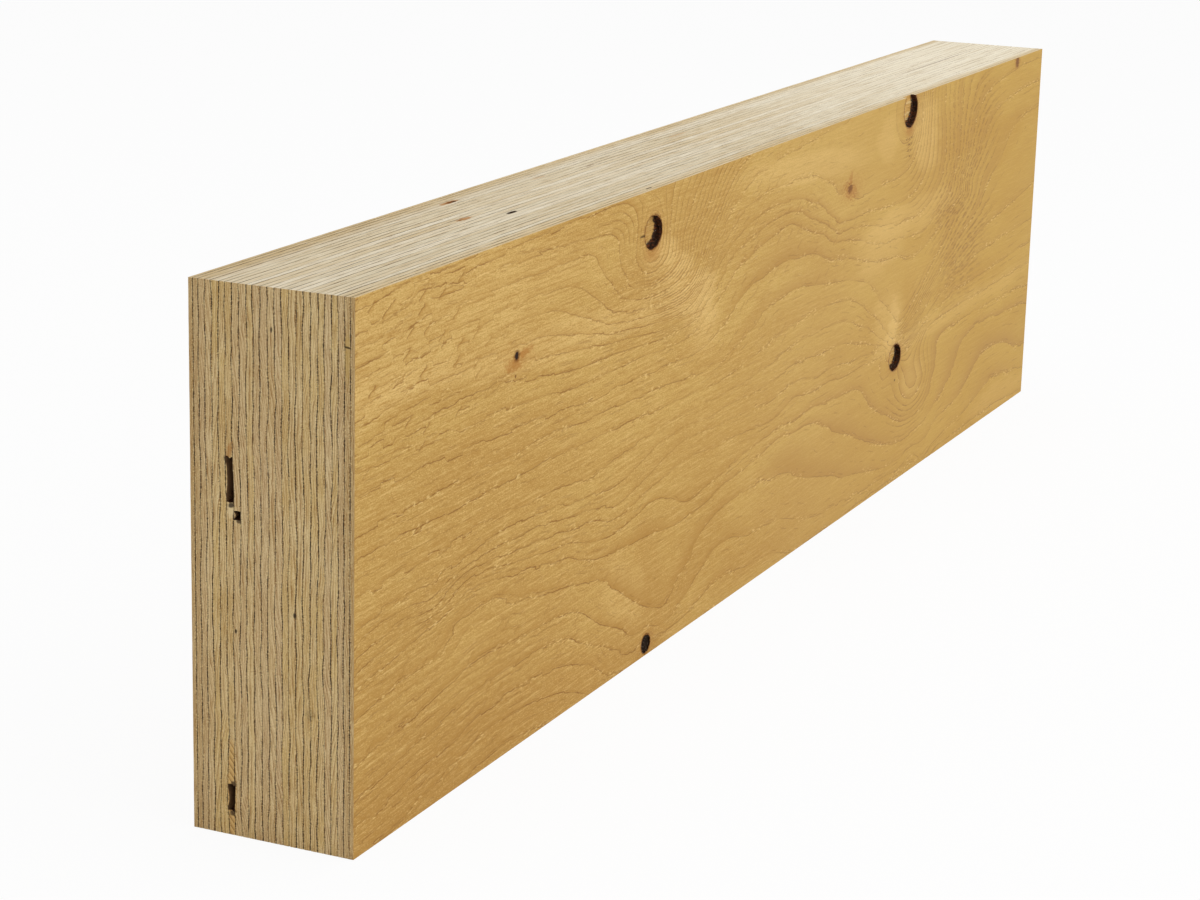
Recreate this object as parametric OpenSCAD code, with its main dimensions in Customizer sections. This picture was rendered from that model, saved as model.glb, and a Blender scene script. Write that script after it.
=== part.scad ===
// Laminated veneer lumber beam: peeled softwood veneers stacked with the grain of
// every one along the beam, glued face to face, then sawn square on all four edges.
//
// The beam stands on edge. X runs along the grain from the left end to the right
// end, -Y is the front face, which shows the knot holes, and +Z is up. The origin
// is in the middle of the bottom edge. Veneer 1 is the front one and the last is
// the back one. The glue between two veneers is a film and has no thickness here.

/* [Beam] */
// Length along the grain
beam_length = 916; // [700:1:6000]
// Depth of the section, from the bottom edge to the top edge
beam_depth = 231; // [180:1:600]

/* [Veneers] */
// Number of veneers through the beam
veneer_count = 25; // [9:1:50]
// Thickness of a veneer in the middle of the beam, after pressing
veneer_thickness = 3.22; // [2:0.01:4.5]
// Share of its thickness that the hot press takes from a face veneer
face_squeeze = 0.38; // [0:0.01:0.5]
// How many veneers in from a face the squeeze fades away over
squeeze_reach = 1.7; // [0.5:0.1:4]

/* [Left knot hole in the front veneer] */
// Centre, measured from the left end
left_knot_along = 284.7; // [20:0.1:600]
// Centre, measured down from the top edge
left_knot_drop = 20.4; // [0:0.1:90]
// Size along the grain
left_knot_length = 19.8; // [3:0.1:40]
// Size across the grain
left_knot_height = 16.2; // [3:0.1:40]

/* [Top knot hole in the front veneer, cut open by the top edge] */
// Centre, measured from the left end
top_knot_along = 653; // [20:0.1:680]
// Centre, measured down from the top edge
top_knot_drop = 7.8; // [0:0.1:90]
// Size along the grain
top_knot_length = 23; // [3:0.1:40]
// Size across the grain
top_knot_height = 20.8; // [3:0.1:40]

/* [Low knot hole in the front veneer] */
// Centre, measured from the left end
low_knot_along = 646.8; // [20:0.1:680]
// Centre, measured down from the top edge
low_knot_drop = 153.4; // [110:0.1:160]
// Size along the grain
low_knot_length = 20.4; // [3:0.1:40]
// Size across the grain
low_knot_height = 15.6; // [3:0.1:40]

/* [Dead knot in the front veneer, its black wood shrunk below the face] */
// Centre, measured from the left end
dead_knot_along = 289.7; // [20:0.1:680]
// Centre, measured up from the bottom edge
dead_knot_rise = 6; // [0:0.1:15]
// Size along the grain
dead_knot_length = 10.4; // [3:0.1:20]
// Size across the grain
dead_knot_height = 9.2; // [3:0.1:20]
// How far the knot wood has shrunk below the face
dead_knot_sink = 0.6; // [0.1:0.1:0.9]

/* [Voids that open in the left end] */
// Veneer with the upper and the lower void, counted from the back face
slot_void_veneer = 7; // [1:1:9]
// Veneer with the small void, counted from the back face
small_void_veneer = 8; // [1:1:9]
// Centre of the upper void, measured down from the top edge
upper_void_drop = 80.1; // [20:0.1:85]
// Size of the upper void across the grain
upper_void_height = 18.8; // [3:0.1:20]
// How far the upper void reaches in from the end
upper_void_reach = 13; // [2:0.1:60]
// Centre of the small void, measured down from the top edge
small_void_drop = 94.4; // [20:0.1:110]
// Size of the small void across the grain
small_void_height = 3.8; // [1:0.1:10]
// How far the small void reaches in from the end
small_void_reach = 5; // [2:0.1:60]
// Centre of the lower void, measured up from the bottom edge
lower_void_rise = 16.2; // [7:0.1:40]
// Size of the lower void across the grain
lower_void_height = 11.5; // [3:0.1:14]
// How far the lower void reaches in from the end
lower_void_reach = 9; // [2:0.1:60]

/* [Hidden] */
// The press heats and squeezes the veneers next to its plates the most
function veneers_to_face(place) = min(place - 1, veneer_count - place);
function squeezed(place) =
    veneer_thickness * (1 - face_squeeze * exp(-veneers_to_face(place) / squeeze_reach));
// To a hundredth of a millimetre, so that neighbours meet exactly
function thickness_of(place) = round(squeezed(place) * 100) / 100;
function thickness_to(place) = place < 1 ? 0 : thickness_to(place - 1) + thickness_of(place);

beam_thickness = thickness_to(veneer_count);
left_end = -beam_length / 2;
front_face = -beam_thickness / 2;

// Cutters run this far past the surfaces that they open
overcut = 1;

// A knot's rim is an oval with this many straight sides, pushed in and out in
// three lobes by this share of its size
rim_sides = 40;
rim_lobes = 3;
rim_wobble = 0.025;

face_colour = [0.79, 0.64, 0.37];
core_colour = [0.83, 0.76, 0.61];

function veneer_name(place) =
    place == 1 ? "front_veneer" :
    place == veneer_count ? "back_veneer" :
    str("core_veneer_", place < 10 ? "0" : "", place);

function from_back(count) = veneer_count + 1 - count;

function veneer_front(place) = front_face + thickness_to(place - 1);

function rim_point(length, height, turn) =
    (1 + rim_wobble * cos(rim_lobes * turn)) * [length * cos(turn), height * sin(turn)] / 2;

// Rim of a knot or a void, seen from the front
module knot_rim(length, height) {
    polygon([for (side = [1:rim_sides]) rim_point(length, height, side * 360 / rim_sides)]);
}

// Cutter for a knot hole: its rim, carried back from just in front of a veneer
module knot_cut(place, along, height_up, length, height, depth) {
    translate([left_end + along, veneer_front(place) + depth, height_up])
        rotate([90, 0, 0])
            linear_extrude(depth + overcut)
                knot_rim(length, height);
}

// The same cutter, out through the back of the veneer
module through_cut(place, along, height_up, length, height) {
    knot_cut(place, along, height_up, length, height, thickness_of(place) + overcut);
}

module front_veneer_cuts(place) {
    through_cut(place, left_knot_along, beam_depth - left_knot_drop, left_knot_length, left_knot_height);
    through_cut(place, top_knot_along, beam_depth - top_knot_drop, top_knot_length, top_knot_height);
    through_cut(place, low_knot_along, beam_depth - low_knot_drop, low_knot_length, low_knot_height);
    knot_cut(place, dead_knot_along, dead_knot_rise, dead_knot_length, dead_knot_height, dead_knot_sink);
}

// A void is half a knot hole: the saw cut the other half away with the offcut
module slot_void_cuts(place) {
    through_cut(place, 0, beam_depth - upper_void_drop, 2 * upper_void_reach, upper_void_height);
    through_cut(place, 0, lower_void_rise, 2 * lower_void_reach, lower_void_height);
}

module small_void_cuts(place) {
    through_cut(place, 0, beam_depth - small_void_drop, 2 * small_void_reach, small_void_height);
}

module veneer(place) {
    is_face = place == 1 || place == veneer_count;
    color(is_face ? face_colour : core_colour)
        difference() {
            translate([left_end, veneer_front(place), 0])
                cube([beam_length, thickness_of(place), beam_depth]);
            if (place == 1) front_veneer_cuts(place);
            if (place == from_back(slot_void_veneer)) slot_void_cuts(place);
            if (place == from_back(small_void_veneer)) small_void_cuts(place);
        }
}

for (place = [1:veneer_count])
    veneer(place);
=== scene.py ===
"""Looks of a laminated veneer lumber beam: 25 peeled veneers glued face to face.

Lengths are in metres in the beam's own frame: X along the grain from the left
end, -Y out of the front face, +Z up from the bottom edge. The tables of ring
lines and marks are in millimetres: along from the left end, and down from the
top edge.
"""
import math
from functools import partial

import bmesh
import bpy
import numpy as np
from bpy.props import FloatProperty, FloatVectorProperty, IntProperty, PointerProperty
from mathutils import Color, Matrix, Vector, kdtree, noise


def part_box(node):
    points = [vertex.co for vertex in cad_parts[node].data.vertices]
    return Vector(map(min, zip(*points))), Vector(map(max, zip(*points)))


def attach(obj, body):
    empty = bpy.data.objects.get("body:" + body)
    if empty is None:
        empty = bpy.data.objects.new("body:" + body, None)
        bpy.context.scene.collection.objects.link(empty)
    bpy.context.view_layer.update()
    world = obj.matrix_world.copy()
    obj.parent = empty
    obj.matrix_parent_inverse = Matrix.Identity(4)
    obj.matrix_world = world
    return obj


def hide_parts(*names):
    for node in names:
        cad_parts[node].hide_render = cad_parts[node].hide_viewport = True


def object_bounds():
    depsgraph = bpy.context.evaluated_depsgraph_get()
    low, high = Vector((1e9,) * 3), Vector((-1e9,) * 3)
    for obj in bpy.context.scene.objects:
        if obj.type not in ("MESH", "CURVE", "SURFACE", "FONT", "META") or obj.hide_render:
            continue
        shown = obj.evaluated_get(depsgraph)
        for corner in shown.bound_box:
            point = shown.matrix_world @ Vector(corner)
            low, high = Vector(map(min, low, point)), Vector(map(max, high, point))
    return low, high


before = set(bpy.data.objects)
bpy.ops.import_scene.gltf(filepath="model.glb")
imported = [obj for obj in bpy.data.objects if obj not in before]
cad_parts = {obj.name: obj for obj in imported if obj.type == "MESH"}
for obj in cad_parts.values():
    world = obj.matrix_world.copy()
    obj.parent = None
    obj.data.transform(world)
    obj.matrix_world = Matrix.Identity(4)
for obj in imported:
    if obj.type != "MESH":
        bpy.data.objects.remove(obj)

bl_info = {
    "name": "Laminated veneer lumber beam",
    "version": (1, 0, 0),
    "blender": (4, 5, 0),
    "location": "3D View > Sidebar > Veneer beam",
    "description": "Builds the veneers, knots and finish of a laminated veneer lumber beam",
    "category": "Add Mesh",
}

MM = 0.001
TO_MM = 1000.0
CAD_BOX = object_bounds()
LOW = Vector(CAD_BOX[0])
HIGH = Vector(CAD_BOX[1])
LENGTH = HIGH.x - LOW.x
DEPTH = HIGH.z - LOW.z
THICKNESS = HIGH.y - LOW.y

FRONT_NODE = "front_veneer"
BACK_NODE = "back_veneer"
KNOT_HOLES = ("left", "top", "low")
DEAD_KNOTS = ("dead",)
CORE_NODES = sorted(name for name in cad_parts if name.startswith("core_veneer_"))
VENEER_NODES = [FRONT_NODE] + CORE_NODES + [BACK_NODE]

# ------------------------------------------------------------------ grain of the front face

# Lines of the growth rings on the peeled face: ring number, then places along and down, in mm
RING_LINES = (
    (-1, ((0, 11), (70, 6), (160, 3), (250, 0))),
    (0, ((0, 18), (35, 15), (62, 9), (150, 10), (214, 12), (246, 16), (250, 28), (262, 41),
         (285, 44), (307, 42), (319, 36), (320, 26), (328, 16), (342, 2))),
    (1, ((0, 27), (40, 23), (90, 20), (174, 19), (214, 19), (226, 27), (241, 38), (262, 48),
         (285, 50), (312, 49), (328, 43), (334, 32), (346, 23), (366, 3))),
    (2, ((0, 35), (60, 31), (174, 29), (205, 33), (227, 43), (262, 54), (307, 56), (326, 54),
         (342, 46), (354, 34), (372, 18), (396, 3))),
    (3, ((0, 43), (60, 38), (174, 38), (205, 46), (241, 56), (307, 61), (330, 60), (345, 54),
         (358, 43), (380, 27), (440, 9), (480, 5))),
    (4, ((0, 51), (60, 46), (160, 47), (205, 54), (260, 62), (307, 66), (333, 64), (350, 56),
         (366, 44), (396, 29), (450, 23), (497, 24), (530, 35))),
    (5, ((0, 58), (72, 54), (183, 59), (300, 70), (341, 69), (360, 58), (382, 44), (413, 35),
         (468, 33), (500, 40), (540, 57))),
    (6, ((0, 64), (125, 61), (207, 70), (320, 74), (345, 70), (383, 50), (413, 43), (450, 39),
         (500, 48), (560, 63))),
    (7, ((0, 69), (120, 73), (228, 78), (338, 79), (375, 65), (433, 49), (467, 45), (517, 59),
         (605, 79), (653, 83), (690, 84), (735, 68), (750, 45), (752, 15), (754, 0))),
    (8, ((0, 80), (117, 82), (228, 88), (340, 90), (383, 80), (433, 67), (480, 66), (580, 84),
         (640, 92), (700, 92), (757, 72), (776, 38), (800, 16), (840, 9), (915, 5))),
    (9, ((0, 96), (183, 94), (300, 98), (372, 101), (433, 86), (480, 82), (560, 92), (612, 113),
         (640, 141), (654, 141), (690, 119), (722, 101), (752, 84), (797, 47), (815, 32),
         (850, 24), (915, 20))),
    (10, ((0, 106), (180, 105), (340, 110), (390, 110), (473, 101), (522, 100), (572, 106),
          (612, 125), (638, 145), (657, 145), (694, 127), (728, 112), (778, 94), (837, 62),
          (870, 42), (912, 37))),
    (11, ((0, 122), (107, 118), (212, 124), (300, 119), (417, 118), (480, 113), (556, 115),
          (606, 131), (635, 149), (661, 149), (700, 133), (745, 117), (812, 102), (912, 88))),
    (12, ((0, 134), (83, 130), (157, 127), (233, 134), (300, 126), (417, 127), (480, 124),
          (556, 127), (606, 139), (632, 152), (664, 152), (700, 139), (745, 125), (800, 116),
          (912, 112))),
    (13, ((0, 141), (62, 140), (97, 134), (167, 134), (250, 145), (333, 132), (457, 136),
          (570, 141), (628, 148), (672, 158), (700, 142), (745, 134), (912, 128))),
    (14, ((0, 147), (97, 136), (183, 142), (267, 150), (343, 142), (447, 148), (485, 142),
          (580, 147), (612, 152), (640, 178), (680, 187), (702, 177), (696, 160), (750, 144),
          (912, 142))),
    (15, ((0, 153), (60, 147), (123, 141), (217, 155), (290, 154), (340, 165), (430, 156),
          (530, 156), (597, 170), (637, 190), (708, 193), (720, 180), (727, 159), (780, 154),
          (860, 155), (912, 157))),
    (16, ((0, 160), (77, 149), (123, 146), (200, 157), (250, 168), (340, 172), (467, 160),
          (503, 162), (583, 188), (640, 206), (715, 203), (762, 182), (808, 163), (903, 168))),
    (17, ((0, 172), (73, 166), (143, 163), (222, 175), (267, 197), (286, 216), (300, 217),
          (342, 195), (378, 180), (453, 181), (540, 200), (608, 214), (678, 217), (775, 203),
          (815, 187), (845, 185), (903, 197))),
    (18, ((0, 192), (107, 179), (200, 184), (260, 210), (279, 222), (310, 222), (343, 211),
          (372, 200), (463, 206), (533, 220), (700, 228), (780, 218), (840, 207), (903, 212))),
    (19, ((0, 206), (100, 193), (160, 192), (203, 197), (258, 221), (310, 227), (342, 224),
          (380, 217), (460, 224), (490, 231), (860, 226), (903, 229))),
    (20, ((0, 219), (93, 208), (142, 204), (187, 207), (222, 215), (240, 226))),
    (21, ((33, 229), (75, 221), (117, 214), (167, 216), (203, 223), (225, 231))),
)
# Rings change this much more slowly along the grain than across it
ALONG_STRETCH = 2.5
# How far the fitted surface may stray from the lines, to stay smooth
RING_SLACK = 3.0

# Rings crowd or spread round the knots: name, rings added at the middle, reach in mm
KNOT_RINGS = (("left", -2.2, 13), ("top", -4.0, 17), ("low", 2.6, 15), ("dead", 2.4, 10))
# The same round the pin knots, given by their places along and down
PIN_RINGS = ((555.5, 39.6, 0.8, 6), (141.3, 51.0, 0.5, 5))


def as_along(x):
    """Millimetres along from the left end."""
    return (x - LOW.x) / MM


def as_down(z):
    """Millimetres down from the top edge."""
    return (HIGH.z - z) / MM


def from_marks(along, down):
    """X and Z in metres of a place given along and down in mm."""
    return LOW.x + along * MM, HIGH.z - down * MM


def in_mm(lengths):
    """Lengths in metres as millimetres."""
    return tuple(length / MM for length in lengths)


def squeeze_along(points):
    """Ring lines run along the grain, so distances along count for less."""
    return points / np.array((ALONG_STRETCH, 1.0))


def plate_kernel(squares):
    """Thin plate bending energy as a function of squared distance."""
    return 0.5 * squares * np.log(np.maximum(squares, 1e-9))


def line_points(line, step=16.0):
    """A ring line's own points, with more between them where they lie far apart."""
    points = [np.array(line[0], float)]
    for start, end in zip(line[:-1], line[1:]):
        start = np.array(start, float)
        end = np.array(end, float)
        count = max(1, int(np.hypot(*squeeze_along(end - start)) // step))
        points += [start + (end - start) * (k / count) for k in range(1, count + 1)]
    return points


def fit_rings():
    """Bends a thin plate over the ring lines and returns its centres and weights."""
    places = []
    numbers = []
    for number, line in RING_LINES:
        points = line_points(line)
        places += points
        numbers += [number] * len(points)
    centres = squeeze_along(np.array(places))
    count = len(centres)
    squares = ((centres[:, None] - centres[None]) ** 2).sum(-1)
    plane = np.c_[np.ones(count), centres]
    system = np.block([
        [plate_kernel(squares) + np.eye(count) * RING_SLACK, plane],
        [plane.T, np.zeros((3, 3))],
    ])
    weights = np.linalg.solve(system, np.r_[numbers, np.zeros(3)])
    return centres, weights


def knot_rings(knots):
    """Every knot that bends the rings: along, down, rings added, reach in mm."""
    named = [in_mm(getattr(knots, name + "_place")) + (rings, reach)
             for name, rings, reach in KNOT_RINGS]
    return named + list(PIN_RINGS)


def ring_numbers(places, plate, crowding):
    """Ring number, and its change per mm along and down, at places given in mm."""
    centres, weights = plate
    count = len(centres)
    out = np.empty((len(places), 3))
    scaled = squeeze_along(places)
    for start in range(0, len(places), 8000):
        part = scaled[start:start + 8000]
        apart = part[:, None] - centres[None]
        squares = np.maximum((apart ** 2).sum(-1), 1e-9)
        bend = plate_kernel(squares) @ weights[:count]
        tilt = (np.log(squares) + 1.0)[..., None] * apart
        slope = np.einsum("pcd,c->pd", tilt, weights[:count]) + weights[count + 1:]
        out[start:start + 8000, 0] = bend + weights[count] + part @ weights[count + 1:]
        out[start:start + 8000, 1:] = slope / np.array((ALONG_STRETCH, 1.0))
    for along, down, rings, reach in crowding:
        apart = places - (along, down)
        distance = np.maximum(np.hypot(apart[:, 0], apart[:, 1]), 0.5)
        lift = rings * np.exp(-distance / reach)
        out[:, 0] += lift
        out[:, 1:] -= (lift / reach / distance)[:, None] * apart
    return out


def plain_rings(places):
    """Ring number, and its change per mm, of a plain face with one run of tall arches."""
    def number(at):
        along, down = at[:, 0], at[:, 1]
        arch = 3.2 * np.exp(-((down - 118) / 42) ** 2) * np.cos(along / 250 + 0.5)
        return down / 9.5 + arch + 0.7 * np.sin(along / 90 + down / 55)
    step = 0.5
    here = number(places)
    ahead = number(places + (step, 0.0))
    below = number(places + (0.0, step))
    return np.c_[here, (ahead - here) / step, (below - here) / step]


# ------------------------------------------------------------------ settings

def mark(name, description, along, down):
    """A place on the front face, from mm along from the left end and down from the top."""
    return FloatVectorProperty(name=name, description=description, size=2, unit="LENGTH",
                               precision=4, default=(along * MM, down * MM))


def extent(name, description, length, height):
    """A size along the grain and across it, from mm."""
    return FloatVectorProperty(name=name, description=description, size=2, unit="LENGTH",
                               precision=4, min=0.1 * MM, default=(length * MM, height * MM))


def distance(name, description, default):
    """A length that is never negative."""
    return FloatProperty(name=name, description=description, default=default, min=0.0,
                         subtype="DISTANCE", unit="LENGTH", precision=5)


def colour(name, description, *screen):
    """A colour, from its red, green and blue as a screen shows them, 0 to 255."""
    return FloatVectorProperty(name=name, description=description, size=3, min=0.0, max=1.0,
                               subtype="COLOR_GAMMA", default=[part / 255 for part in screen])


def gloss(name, default):
    """How much a surface mirrors."""
    return FloatProperty(name=name, description="How much light its surface mirrors",
                         default=default, min=0.0, max=1.0, subtype="FACTOR")


def place_of(name, description, default):
    """A place in space."""
    return FloatVectorProperty(name=name, description=description, subtype="TRANSLATION",
                               unit="LENGTH", default=default)


class VeneerBeamShape(bpy.types.PropertyGroup):
    edge_step: distance("Edge step", "Length of a mesh cell along the long edges", 2.0 * MM)
    end_step: distance("End step", "Length of a mesh cell down the ends", 1.0 * MM)
    front_step: distance("Front face step", "Length of a mesh cell on the front face", 1.75 * MM)
    back_step: distance("Back face step", "Length of a mesh cell on the back face", 2.4 * MM)
    cells_across: IntProperty(name="Cells across", description="Mesh cells across one veneer",
                              default=6, min=2, max=16)
    face_cells: IntProperty(name="Face veneer cells", default=4, min=2, max=16,
                            description="Mesh cells across the front or the back veneer")
    glue_wave: distance("Glue line wave", "How far a glue line wanders from its plane", 1.3 * MM)
    stack_bow: distance("Stack bow", "How far the glue lines in the middle wander together",
                        1.2 * MM)
    glue_groove: distance("Glue line groove", "Depth of the torn groove at a glue line", 0.05 * MM)
    saw_marks: distance("Saw marks", "Height of the saw marks on the cut edges", 0.06 * MM)
    face_relief: distance("Face relief", "Height of the peeled surface's relief", 0.05 * MM)
    cap_inset: distance("Glued face inset", "Where a glued face becomes flat, in from its edge",
                        28.0 * MM)


class VeneerBeamKnots(bpy.types.PropertyGroup):
    left_place: mark("Left knot hole", "Middle of the left knot hole", 284.7, 20.4)
    left_size: extent("Left knot hole size", "Length and height", 19.8, 16.2)
    top_place: mark("Top knot hole", "Middle of the knot hole that the top edge cuts", 653.0, 7.8)
    top_size: extent("Top knot hole size", "Length and height", 23.0, 20.8)
    low_place: mark("Low knot hole", "Middle of the low knot hole", 646.8, 153.4)
    low_size: extent("Low knot hole size", "Length and height", 20.4, 15.6)
    dead_place: mark("Dead knot", "Middle of the shrunken dead knot", 289.7, 225.0)
    dead_size: extent("Dead knot size", "Length and height", 10.4, 9.2)
    dead_sink: distance("Dead knot sink", "How far the dead wood has shrunk below the face",
                        0.6 * MM)
    pocket: distance("Hole floor pocket", "Depth of the hole floors in the second veneer",
                     0.9 * MM)


class VeneerBeamVoids(bpy.types.PropertyGroup):
    slot_veneer: IntProperty(name="Slot veneer", description="Counted from the back face",
                             default=7, min=1)
    small_veneer: IntProperty(name="Small void veneer", description="Counted from the back face",
                              default=8, min=1)
    upper_place: mark("Upper void", "Middle of its mouth in the left end", 0.0, 80.1)
    upper_size: extent("Upper void size", "Twice its reach, and its height", 26.0, 18.8)
    small_place: mark("Small void", "Middle of its mouth in the left end", 0.0, 94.4)
    small_size: extent("Small void size", "Twice its reach, and its height", 10.0, 3.8)
    lower_place: mark("Lower void", "Middle of its mouth in the left end", 0.0, 214.8)
    lower_size: extent("Lower void size", "Twice its reach, and its height", 18.0, 11.5)
    back_bulge: distance("Back wall bulge", "How far the torn back wall of a void bulges into it",
                         1.05 * MM)


class VeneerBeamFinish(bpy.types.PropertyGroup):
    face: colour("Face wood", "Peeled face, aged golden", 204, 169, 97)
    # Also tints the painted sheen on the pale patches round the knots
    face_pale: colour("Pale face wood", "Face wood round the knots", 227, 192, 123)
    face_deep: colour("Deep face wood", "Shaded bands of the face", 180, 137, 70)
    face_yellow: colour("Yellow face wood", "Tint of the face towards the right", 200, 155, 40)
    face_sliver: colour("Sliver", "Slivers that the knife lifted", 233, 201, 132)
    face_line: colour("Ring line", "Thin late wood lines of the face", 130, 83, 40)
    face_gloss: gloss("Face gloss", 0.06)
    edge: colour("Edge wood", "Sawn long edges", 217, 205, 178)
    edge_warm: colour("Warm edge wood", "Outer veneers on the long edges", 211, 186, 141)
    edge_light: colour("Light edge wood", "Veneers that are paler than most", 236, 227, 207)
    edge_cloud: colour("Clouded edge wood", "Broad pale places of the edges", 229, 219, 196)
    edge_far: colour("Far edge wood", "Edges towards the right end", 245, 236, 214)
    edge_back: colour("Back edge wood", "Edges beside the back face, at the left", 194, 169, 125)
    edge_band: colour("Edge band", "Broad darker grain of the edges", 192, 166, 122)
    edge_late: colour("Edge late wood", "Fine dark grain of the edges", 172, 146, 106)
    edge_early: colour("Edge early wood", "Fine pale grain of the edges", 241, 233, 213)
    edge_gloss: gloss("Edge gloss", 0.02)
    end: colour("End wood", "Sawn end grain", 226, 194, 128)
    end_grey: colour("Grey end wood", "Sawn end grain of greyer veneers", 216, 188, 148)
    end_pale: colour("Pale end wood", "Early wood on the sawn ends", 240, 216, 166)
    end_cloud: colour("Clouded end wood", "Broad darker places of the ends", 196, 158, 94)
    end_outer: colour("Outer end wood", "Ends of the outer veneers", 172, 132, 68)
    end_ring: colour("End ring", "Late wood on the sawn ends", 150, 102, 44)
    end_fleck: colour("End fleck", "Bright torn fibres beside the glue lines", 238, 212, 150)
    end_gloss: gloss("End gloss", 0.25)
    honey: colour("Honey wood", "Swirled grain round the lower void", 226, 186, 116)
    honey_ring: colour("Honey ring", "Late wood of the swirled grain", 150, 100, 46)
    bead: colour("Glue bead", "Dark beads and pits in the glue lines", 48, 30, 18)
    glue: colour("Glue", "Glue lines", 68, 52, 32)
    resin: colour("Resin", "Glued faces, soaked with dark resin", 122, 92, 60)
    bark: colour("Bark", "Walls of the knot holes", 44, 27, 16)
    bark_red: colour("Red bark", "Reddish places of the bark", 98, 52, 26)
    bark_grey: colour("Grey bark", "Dusty flakes of the bark", 146, 132, 112)
    bark_gloss: gloss("Bark gloss", 0.12)
    floor: colour("Hole floor", "The second veneer in a knot hole", 206, 164, 92)
    floor_deep: colour("Deep hole floor", "Darker fibres of a hole's floor", 168, 118, 58)
    floor_pale: colour("Pale hole floor", "Pale strips of a hole's floor", 222, 196, 142)
    floor_grit: colour("Floor grit", "Brown grit on a hole's floor", 112, 70, 34)
    floor_gloss: gloss("Hole floor gloss", 0.15)
    crust_red: colour("Red crust", "Reddish flakes of the bark on a floor", 112, 60, 28)
    crust_grey: colour("Grey crust", "Dusty flakes of the bark on a floor", 150, 138, 122)
    dead: colour("Dead knot", "Black dead knot wood", 34, 23, 14)
    # Grey streaks across the dead knot
    dead_grey: colour("Grey check", "Grey checks across the dead knot", 112, 100, 88)
    dead_gloss: gloss("Dead knot gloss", 0.02)
    stain: colour("Knot stain", "Orange brown wood round a knot", 172, 114, 50)
    knot: colour("Knot wood", "Sound reddish brown knot wood", 112, 66, 26)


class VeneerBeamStage(bpy.types.PropertyGroup):
    lens: FloatProperty(name="Lens", description="Focal length of the camera", default=88.6,
                        unit="CAMERA")
    sensor: FloatProperty(name="Sensor", description="Width of the camera's sensor", default=36.0,
                          unit="CAMERA")
    clip_start: distance("Clip start", "Where the camera begins to see", 0.05)
    camera_place: place_of("Camera place", "Where the camera stands", (-1.4252, -0.5800, 0.4670))
    camera_forward: FloatVectorProperty(name="Camera direction", subtype="DIRECTION",
                                        description="Where the camera looks",
                                        default=(0.88029, 0.39885, -0.25691))
    camera_up: FloatVectorProperty(name="Camera up", subtype="DIRECTION",
                                   description="Which way is up for the camera",
                                   default=(0.22343, 0.12918, 0.96612))
    fill: FloatProperty(name="Fill", description="Strength of the even light all round",
                        default=0.62, min=0.0)
    lamp_aim: place_of("Lamp aim", "What both lamps point at", (0.0, 0.0, 0.1))
    key: FloatProperty(name="Key lamp", description="Strength of the soft lamp overhead",
                       default=14.0, min=0.0, unit="POWER")
    key_place: place_of("Key lamp place", "Where the lamp overhead hangs", (0.1, -0.5, 1.9))
    key_size: distance("Key lamp size", "Width of the lamp overhead", 2.2)
    front: FloatProperty(name="Front lamp", description="Strength of the lamp before the face",
                         default=12.0, min=0.0, unit="POWER")
    front_place: place_of("Front lamp place", "Where the lamp before the face stands",
                          (-0.3, -2.2, 0.9))
    front_size: distance("Front lamp size", "Width of the lamp before the face", 1.8)
    floor_size: distance("Floor size", "Width of the floor", 30.0)
    floor_white: FloatProperty(name="Floor white", subtype="FACTOR", min=0.0, max=1.0,
                               description="How far the floor fades into the white surround",
                               default=0.93)


# ------------------------------------------------------------------ node helpers

def linear(screen):
    """A colour as a screen shows it, as the linear colour that nodes work in."""
    parts = [part / 12.92 if part <= 0.04045 else ((part + 0.055) / 1.055) ** 2.4
             for part in screen]
    return (*parts, 1.0)


class Wire:
    """A node's output; arithmetic on it adds the nodes that work it out."""

    def __init__(self, graph, socket):
        self.graph = graph
        self.socket = socket

    def __add__(self, other):
        return self.graph.math("ADD", self, other)

    def __sub__(self, other):
        return self.graph.math("SUBTRACT", self, other)

    def __rsub__(self, other):
        return self.graph.math("SUBTRACT", other, self)

    def __mul__(self, other):
        return self.graph.math("MULTIPLY", self, other)

    def __truediv__(self, other):
        return self.graph.math("DIVIDE", self, other)

    def __pow__(self, power):
        return self.graph.math("POWER", self, power)


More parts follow.
